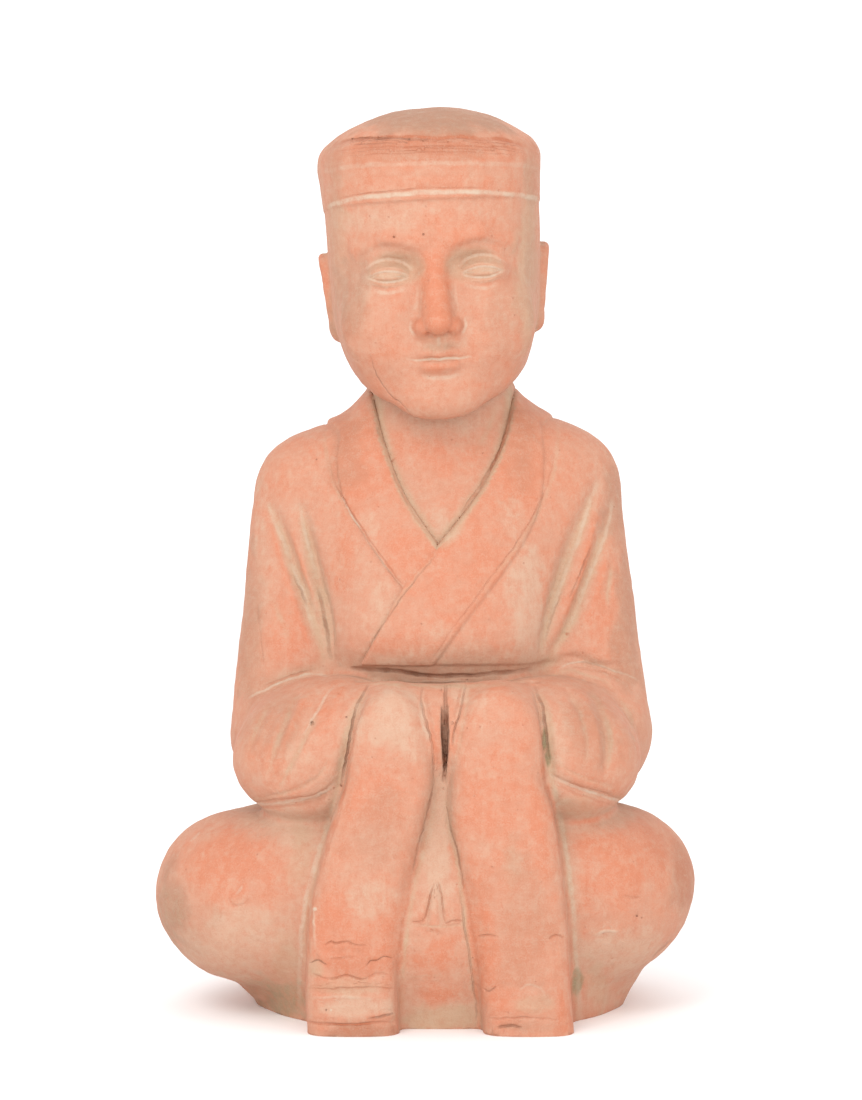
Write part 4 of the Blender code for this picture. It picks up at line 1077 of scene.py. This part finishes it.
def draw_strokes(points, normals, marks):
    """Tints the places along each stroke, and says how deep it cuts there.

    A fine stroke is kept as a strength and as how many half widths each place lies to its left or right,
    so that the material can draw it more sharply than the points lie.
    """
    flat = seen_at(points)
    cut = np.zeros(len(points))
    nearest = {tint: np.full(len(points), np.inf) for tint in LINE_TINTS}
    facing = facing_front(normals, -0.05, 0.25)
    wavering = 0.82 + 0.22 * ripple(points, 9 * UNIT, 3)
    wander = np.column_stack((ripple(points, 12 * UNIT, 7), ripple(points, 12 * UNIT, 8))) * 0.5
    wander += np.column_stack((ripple(points, 3 * UNIT, 9), ripple(points, 3 * UNIT, 10))) * 0.35
    for tint, depth, width, strength, *line in STROKES:
        knots = smooth_line(line, 6)
        near = close_to(flat, knots, max(3.5 * width, LINE_REACH))
        moved = flat[near] + wander[near]
        off, along = off_line(moved, knots)
        length = facing[near] * np.sin(pi * along) ** 0.4
        shape = length * np.exp(-((off / width) ** 2))
        cut[near] += depth * UNIT * shape
        if width >= BROAD_LINE:
            strengthen(marks, tint, strength * wavering[near] * shape, near)
            continue
        closer = off < nearest[tint][near]
        chosen = near[closer]
        nearest[tint][chosen] = off[closer]
        reached = smooth_step((LINE_REACH - off[closer]) / 1.2)
        marks[tint + "_line"][chosen] = (strength * wavering[near] * length)[closer] * reached
        marks[tint + "_side"][chosen] = side_of_line(moved[closer], knots) * off[closer] / width
    for tint, pits in PITS.items():
        for depth, width, *place in pits:
            near = close_to(flat, np.array([place], float), 3 * width)
            shape = facing[near] * np.exp(-((np.linalg.norm(flat[near] - place, axis=1) / width) ** 4))
            strengthen(marks, tint, shape, near)
            cut[near] += depth * UNIT * shape
    return cut


def draw_patches(points, normals, marks):
    """Lays soft patches of tint with ragged edges on what the photograph shows."""
    flat = seen_at(points)
    facing = facing_front(normals, -0.15, 0.45)
    ragged = 0.25 * ripple(points, 16 * UNIT, 5) + 0.16 * ripple(points, 5 * UNIT, 6)
    for tint, patches in PATCHES.items():
        for strength, column, row, *reach in patches:
            near = close_to(flat, np.array([(column, row)], float), 2.0 * max(reach))
            away = np.linalg.norm((flat[near] - (column, row)) / np.array(reach, float), axis=1)
            edge = ragged[near] * np.minimum(away, 1.0)
            shape = facing[near] * smooth_step((1.5 - away + edge) / 1.1)
            strengthen(marks, tint, strength * shape, near)


def on_face(q, low, high, reach):
    """Which places of the head are on the front of the face, between two levels, in millimetres."""
    return (q[:, 1] < FACE_FRONT) & (q[:, 2] > low) & (q[:, 2] < high) & (np.abs(q[:, 0]) < reach)


def face_relief(points, marks):
    """The lids, the narrow openings of the lowered eyes and the lips."""
    q = to_head(points) / UNIT
    relief = np.zeros(len(points))
    front = np.nonzero(on_face(q, -25, 75, 48))[0]
    flat = np.column_stack((np.abs(q[front, 0]), q[front, 2]))
    nearest = np.full(len(flat), np.inf)
    for depth, width, slip, *line in FACE_LINES:
        knots = smooth_line(line, 6)
        off, along = off_line(flat, knots)
        from_middle = line[0][0] < 1
        ends = np.sin(pi * np.clip(0.5 + 0.5 * along if from_middle else along, 0.0, 1.0)) ** 0.5
        relief[front] += depth * UNIT * ends * np.exp(-((off / width) ** 2))
        closer = (off < nearest) & (slip > 0)
        nearest[closer] = off[closer]
        chosen = front[closer]
        reached = smooth_step((2.6 - off[closer]) / 0.8)
        marks["cream_line"][chosen] = slip * ends[closer] * reached
        marks["cream_side"][chosen] = side_of_line(flat[closer], knots) * off[closer] / (0.7 * width)
    t = np.clip((flat[:, 0] - EYE_INNER) / (EYE_OUTER - EYE_INNER), 0, 1)
    middle = EYE_LINE + 0.8 * t + 1.2 * np.sin(pi * t)
    gap = EYE_OPENING * np.sin(pi * t) ** 0.7 - np.abs(flat[:, 1] - middle)
    opening = smooth_step(gap / 0.9 + 0.4) * (t > 0) * (t < 1)
    relief[front] -= 0.5 * UNIT * opening
    strengthen(marks, "slip", 0.7 * opening, front)
    sockets = np.minimum(*[mass.distance(q * UNIT) for mass in FACE_SOCKETS])
    under_nose = np.linalg.norm((q - (0, -70, 12)) / (13, 16, 7), axis=1)
    settled = np.maximum(0.5 * smooth_step(1 - sockets / (6 * UNIT)), 0.3 * smooth_step(1.5 - under_nose))
    strengthen(marks, "silt", settled * (q[:, 1] < FACE_FRONT))
    rubbed = np.minimum(NOSE_BRIDGE.distance(q * UNIT), NOSE_TIP.distance(q * UNIT))
    for mass in (*BROWS, *FACE_CHEEKS, CHIN):
        rubbed = np.minimum(rubbed, mass.distance(q * UNIT) + 3 * UNIT)
    strengthen(marks, "rubbed", 0.9 * smooth_step(1 - rubbed / (5 * UNIT)) * (q[:, 1] < -40))
    return relief


def how_hollow(points, normals, reach):
    """0 on open clay, towards 1 in a narrow place, judged by what stands near each place."""
    return np.clip(1.0 - figure_distance(points + normals * reach) / reach, 0.0, 1.0)


def how_raised(points, normals, reach):
    """0 on broad clay, towards 1 on a ridge or an edge, judged by how thin the clay is under each place."""
    return np.clip(1.0 + figure_distance(points - normals * reach) / reach, 0.0, 1.0)


def fine_places(mesh):
    """Which points lie on or close beside a fine line of the face or the garment."""
    points, normals = points_and_normals(mesh)
    q = to_head(points) / UNIT
    fine = on_face(q, -14, 70, 46)
    flat = seen_at(points)
    facing = normals[:, 1] < 0.1
    lines = [line for _, _, width, _, *line in STROKES if width < BROAD_LINE]
    lines += [(place, place) for pits in PITS.values() for _, _, *place in pits]
    for line in lines:
        knots = smooth_line(line, 3)
        knots += np.linspace(0, 0.01, len(knots))[:, None]
        near = close_to(flat, knots, FINE_REACH)
        off = off_line(flat[near], knots)[0]
        fine[near] |= facing[near] & (off < FINE_REACH)
    return fine


def split_fine_places(mesh):
    """Splits the edges near the fine lines once more."""
    fine = fine_places(mesh)
    with reworked(mesh) as bm:
        edges = [edge for edge in bm.edges if fine[edge.verts[0].index] and fine[edge.verts[1].index]]
        bmesh.ops.subdivide_edges(bm, edges=edges, cuts=1, use_grid_fill=True)


def fewer_triangles(mesh, most):
    """The mesh with fewer triangles, which stay closest together near the fine lines."""

    def add(helper):
        fine = fine_places(mesh)
        group = helper.vertex_groups.new(name="plain")
        group.add(np.nonzero(~fine)[0].tolist(), 1.0, "REPLACE")
        group.add(np.nonzero(fine)[0].tolist(), 0.5, "REPLACE")
        mesh.calc_loop_triangles()
        modifier = helper.modifiers.new("Decimate", "DECIMATE")
        modifier.ratio = min(1.0, most / len(mesh.loop_triangles))
        modifier.vertex_group = group.name
        modifier.vertex_group_factor = FINE_FAVOUR
        modifier.use_collapse_triangulate = True

    return evaluated_copy(mesh, add)


def no_marks(count):
    """An empty mark of each kind for that many places."""
    lines = [tint + part for tint in LINE_TINTS for part in ("_line", "_side")]
    return {name: np.zeros(count) for name in (*TINTS, *lines)}


def worked_clay():
    """The figure's surface, settled on the masses and carved."""
    mesh = rough_clay()
    for voxel, rounds, furthest in WORKING_TURNS:
        mesh = remeshed(mesh, voxel)
        settle(mesh, rounds, furthest)
    split_fine_places(mesh)
    points, normals = points_and_normals(mesh)
    spare = no_marks(len(points))
    relief = garment_relief(points, normals) + face_relief(points, spare)
    relief -= draw_strokes(points, normals, spare)
    relief += UNIT * (0.35 * ripple(points, 26 * UNIT, 1) + 0.12 * ripple(points, 7 * UNIT, 2))
    relief *= smooth_step(points[:, 2] / (4 * UNIT))
    move_points(mesh, points + normals * relief[:, None])
    mesh = fewer_triangles(mesh, MOST_TRIANGLES)
    cut_ground(mesh)
    return mesh


def tint_clay(mesh):
    """Works out each tint at the points of the finished mesh."""
    points, normals = points_and_normals(mesh)
    marks = no_marks(len(points))
    draw_patches(points, normals, marks)
    draw_strokes(points, normals, marks)
    face_relief(points, marks)
    below_chest = points[:, 2] < CHEST_TOP
    # Painted shadow under the overhanging hem and painted shade down the sleeve slit, laid in the dark tint
    under_hem = smooth_step(1 - hem_gap(points) / (2.5 * UNIT))
    in_slit = smooth_step(1 - (sleeve_slit(points) + 0.4 * UNIT) / (1.2 * UNIT))
    in_slit *= points[:, 1] > PANEL_FRONT
    strengthen(marks, "soot", below_chest * np.maximum(0.45 * under_hem, 0.8 * in_slit))
    inside_v = smooth_step(1.1 + neck_opening(points) / (8 * UNIT)) * (neck_opening(points) < 0.5 * UNIT)
    inside_v *= (points[:, 2] > CHEST_TOP) & (points[:, 2] < HEAD_PIVOT[2] * UNIT)
    inside_v *= facing_front(normals, 0.05, 0.5) * off_head(points)
    strengthen(marks, "silt", inside_v)
    marks["crease"] = np.clip(-garment_relief(points, normals) / CREASE_DEPTH, 0, 1)
    marks["narrow"] = how_hollow(points, normals, NARROW_REACH)
    marks["hollow"] = how_hollow(points, normals, HOLLOW_REACH)
    marks["raised"] = how_raised(points, normals, RAISED_REACH)
    for name, values in marks.items():
        kept = mesh.attributes.new(name, "FLOAT", "POINT")
        kept.data.foreach_set("value", values.astype(np.float32))


def carried(operation, turned=False):
    """An operator that adds a Math node, with its two values turned round if asked."""

    def work(self, other):
        values = (other, self) if turned else (self, other)
        return self.finish.maths(operation, *values)

    return work


class Worked:
    """A number worked out by nodes, which Python's operators carry on."""

    __add__, __radd__ = carried("ADD"), carried("ADD", True)
    __sub__, __rsub__ = carried("SUBTRACT"), carried("SUBTRACT", True)
    __mul__, __rmul__ = carried("MULTIPLY"), carried("MULTIPLY", True)

    def __init__(self, finish, socket):
        self.finish, self.socket = finish, socket

    def step(self, low, high):
        """0 below low and 1 above high, with a soft change between."""
        limits = {"Value": self, "From Min": low, "From Max": high}
        made = self.finish.node("ShaderNodeMapRange", {"interpolation_type": "SMOOTHSTEP"}, limits)
        return Worked(self.finish, made.outputs["Result"])


class Finish:
    """A material whose nodes are added one at a time."""

    def __init__(self, name):
        self.material = bpy.data.materials.new(name)
        self.material.use_nodes = True
        self.tree = self.material.node_tree
        self.shader = self.tree.nodes["Principled BSDF"]
        self.place = self.node("ShaderNodeTexCoord").outputs["Object"]

    def feed(self, socket, value):
        value = value.socket if isinstance(value, Worked) else value
        if isinstance(value, bpy.types.NodeSocket):
            self.tree.links.new(value, socket)
        else:
            socket.default_value = value

    def node(self, kind, settings=None, sockets=None):
        node = self.tree.nodes.new(kind)
        for name, value in (settings or {}).items():
            setattr(node, name, value)
        for name, value in (sockets or {}).items():
            self.feed(node.inputs[name], value)
        return node

    def maths(self, operation, *values):
        made = self.node("ShaderNodeMath", {"operation": operation}, dict(enumerate(values)))
        return Worked(self, made.outputs[0])

    def mark(self, name):
        made = self.node("ShaderNodeAttribute", {"attribute_name": name})
        return Worked(self, made.outputs["Fac"])

    def line(self, tint):
        """A fine line in the given tint, 1 along its middle and 0 beside it."""
        aside = self.maths("ABSOLUTE", self.mark(tint + "_side"))
        return self.mark(tint + "_line") * (1 - aside.step(0.35, 1.5))

    def noise(self, size, detail=3.0, roughness=0.5, stretch=(1, 1, 1), shift=(0, 0, 0)):
        """Cloudy noise with clouds about as wide as size, in metres."""
        moved = {"Vector": self.place, "Scale": stretch, "Location": shift}
        place = self.node("ShaderNodeMapping", None, moved)
        inputs = {"Vector": place.outputs[0], "Scale": 1.0 / size, "Detail": detail, "Roughness": roughness}
        return Worked(self, self.node("ShaderNodeTexNoise", None, inputs).outputs[0])

    def cells(self, size, shift=(0, 0, 0)):
        """How far each place is from the nearest of many scattered spots, in metres."""
        place = self.node("ShaderNodeMapping", None, {"Vector": self.place, "Location": shift})
        made = self.node("ShaderNodeTexVoronoi", None, {"Vector": place.outputs[0], "Scale": 1.0 / size})
        return Worked(self, made.outputs["Distance"]) * size

    def mix(self, share, below, above):
        made = self.node("ShaderNodeMix", {"data_type": "RGBA"}, {0: share, 6: below, 7: above})
        return made.outputs[2]


# How much light the studio's lamps and surroundings throw on the clay.
STUDIO_LIGHT = 1.74


def fired(red, green, blue):
    """A colour as it shows under the studio's light, from 0 to 255, as the share of light it gives back."""
    light = [((c / 255 + 0.055) / 1.055) ** 2.4 / STUDIO_LIGHT for c in (red, green, blue)]
    return (*light, 1.0)


PINK = fired(235, 169, 137)
ORANGE = fired(238, 146, 106)
PALE = fired(237, 190, 160)
CREAM = fired(240, 214, 188)
SILT = fired(224, 186, 152)
RUST = fired(212, 126, 88)
UMBER = fired(199, 148, 118)
# Dark brown for soot, pits and the crack, and for painted shade under the hem, down the slit, in folds and in
# narrow places
SOOT_AND_SHADE = fired(142, 88, 58)
MOSS = fired(164, 148, 108)
ROUGHNESS = 0.78
GRAIN_DEPTH = 0.0012


def terracotta():
    """Fired clay: pink body, rubbed orange where it stands out, pale slip where it lies in, dirt, and painted
    shade in narrow places.
    """
    clay = Finish("terracotta")
    clouds = clay.noise(0.060, 4, 0.55)
    drifts = clay.noise(0.024, 4, 0.6, shift=(3, 1, 2))
    mottling = clay.noise(0.0095, 4, 0.62, shift=(8, 3, 5))
    blotches = clay.noise(0.0045, 3, 0.6, shift=(5, 2, 7))
    grain = clay.noise(0.0009, 3, 0.6)
    brushed = clay.noise(0.016, 3, 0.6, stretch=(1, 1, 5), shift=(1, 4, 0))
    upright = clay.noise(0.014, 3, 0.6, stretch=(4, 4, 1), shift=(0, 4, 3))
    raised, hollow, narrow, crease = (clay.mark(name) for name in ("raised", "hollow", "narrow", "crease"))
    lines = {tint: clay.line(tint) for tint in LINE_TINTS}

    rubbing = clouds * 0.6 + drifts * 0.8 + mottling * 1.3 + brushed * 0.6
    orange = (rubbing + raised * 0.55 + clay.mark("rubbed") * 0.6 - hollow * 0.4).step(1.32, 2.3)
    colour = clay.mix(orange * 0.95, PINK, ORANGE)
    # Pale slip, which also carries the painted light on the undersides of the knees and below the sleeve slit
    wash = drifts * 0.7 + clay.noise(0.008, 4, 0.65, shift=(2, 9, 4)) * 1.2 + upright * 0.6
    pale = (wash + hollow * 0.5 + clay.mark("slip") * 0.75 - raised * 0.4).step(1.12, 2.0)
    colour = clay.mix(pale * 0.9, colour, PALE)
    silt = (clay.mark("silt") * 1.1 + crease * 0.35 + hollow * 0.25) * (0.5 + drifts * 0.6 + mottling * 0.45)
    silt = silt.step(0.08, 1.1) * 0.85 + lines["silt"] * 0.6
    colour = clay.mix(silt, colour, SILT)
    umber = clay.mark("umber") * (0.35 + drifts * 0.5 + mottling * 0.75)
    colour = clay.mix(umber.step(0.05, 1.1), colour, UMBER)
    moss = clay.mark("moss") * (0.3 + blotches * 1.2)
    colour = clay.mix(moss.step(0.1, 0.9) * 0.9, colour, MOSS)
    rust = (clay.mark("rust") * (0.5 + mottling * 0.8)).step(0.1, 1.0) * 0.7
    colour = clay.mix(rust + lines["rust"] * (0.25 + mottling), colour, RUST)
    cream = (clay.mark("cream") * (0.5 + blotches * 0.95)).step(0.12, 0.95) * 0.9
    colour = clay.mix(cream + lines["cream"] * (0.3 + blotches * 1.1), colour, CREAM)
    # Soot and painted shade: the dark brown deepens in narrow places where light hardly reaches, as well as
    # where dirt lies
    soot = clay.mark("soot") * (0.55 + blotches * 0.8) + (narrow - 0.9) * 0.5
    soot = soot.step(0.05, 0.85) * 0.9 + lines["soot"] * (0.35 + mottling * 0.9)
    colour = clay.mix(soot, colour, SOOT_AND_SHADE)

    specks = (1 - clay.cells(0.009, (1, 2, 3)).step(0.0003, 0.0009)) * blotches.step(0.48, 0.56)
    pits = 1 - clay.cells(0.036).step(0.0004, 0.0009)
    colour = clay.mix(specks * 0.45, colour, RUST)
    colour = clay.mix(pits * 0.6, colour, SOOT_AND_SHADE)
    light_grain = (grain * 0.45 + blotches * 0.35 + brushed * 0.3).step(0.50, 0.74)
    colour = clay.mix(light_grain * 0.26, colour, CREAM)
    dark_grain = (1.1 - grain * 0.45 - blotches * 0.35 - upright * 0.3).step(0.50, 0.78)
    colour = clay.mix(dark_grain * 0.34, colour, RUST)
    clay.feed(clay.shader.inputs["Base Color"], colour)
    clay.feed(clay.shader.inputs["Roughness"], ROUGHNESS + (pale * 0.1 - orange * 0.12))

    cuts = lines["soot"] * 0.9 + lines["rust"] * 0.5 - lines["cream"] * 0.3
    height = grain * 0.10 + brushed * 0.25 + upright * 0.2 + mottling * 0.5 + blotches * 0.35
    height = height - pits * 0.6 - specks * 0.3 - cuts
    bump = clay.node("ShaderNodeBump", None, {"Height": height, "Strength": 0.8, "Distance": GRAIN_DEPTH})
    clay.feed(clay.shader.inputs["Normal"], bump.outputs["Normal"])
    return clay.material


def figure():
    mesh = worked_clay()
    tint_clay(mesh)
    mesh.shade_smooth()
    mesh.materials.append(terracotta())
    piece = placed("terracotta_boy", mesh)
    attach(piece, "root")
    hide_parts("seated_figure")


FLOOR_REACH = 30.0
FLOOR_TONE = 0.92
FLOOR_ROUGHNESS = 0.9
LIT_PLACE = Vector((0, 0, 0.28))
# Lamps: name, place, size and power.
LAMPS = (
    ("key", (-0.9, -1.9, 2.0), 1.2, 22.6),
    ("fill", (1.8, -1.5, 0.9), 1.8, 5),
    ("low", (0.0, -2.2, 0.14), 1.8, 22),
    ("back", (0.6, 2.0, 1.8), 1.6, 5),
)
SURROUNDING_LIGHT = 1.22


def plain_floor():
    """A pale floor, wide enough to run out of sight."""
    bm = bmesh.new()
    bmesh.ops.create_circle(bm, cap_ends=True, segments=96, radius=FLOOR_REACH)
    mesh = mesh_of(bm, "floor")
    finish = Finish("pale_floor")
    finish.feed(finish.shader.inputs["Base Color"], (FLOOR_TONE, FLOOR_TONE, FLOOR_TONE, 1))
    finish.feed(finish.shader.inputs["Roughness"], FLOOR_ROUGHNESS)
    mesh.materials.append(finish.material)
    floor = placed("floor", mesh)


def soft_light(name, place, size, power):
    """A large square lamp that faces the figure's middle."""
    lamp = bpy.data.lights.new(name, "AREA")
    lamp.size = size
    lamp.energy = power
    light = placed(name, lamp)
    light.location = place
    light.rotation_euler = (LIT_PLACE - Vector(place)).to_track_quat("-Z", "Y").to_euler()


def studio():
    for lamp in LAMPS:
        soft_light(*lamp)
    world = bpy.data.worlds.new("studio")
    world.use_nodes = True
    surroundings = world.node_tree.nodes["Background"]
    surroundings.inputs["Color"].default_value = (1, 1, 1, 1)
    surroundings.inputs["Strength"].default_value = SURROUNDING_LIGHT
    bpy.context.scene.world = world
    bpy.context.scene.view_settings.view_transform = "Standard"


def photo_camera():
    lens = bpy.data.cameras.new("camera")
    lens.sensor_width = SENSOR
    lens.lens = SENSOR * FOCAL_LENGTH / PHOTO_HEIGHT
    lens.shift_x = (PHOTO_WIDTH / 2 - MIDDLE_COLUMN) / PHOTO_HEIGHT
    lens.shift_y = (LEVEL_ROW - PHOTO_HEIGHT / 2) / PHOTO_HEIGHT
    camera = placed("camera", lens)
    camera.location = (0, -CAMERA_AWAY, CAMERA_LEVEL)
    camera.rotation_euler = (radians(90), 0, 0)
    bpy.context.scene.camera = camera


photo_camera()
studio()
plain_floor()
figure()
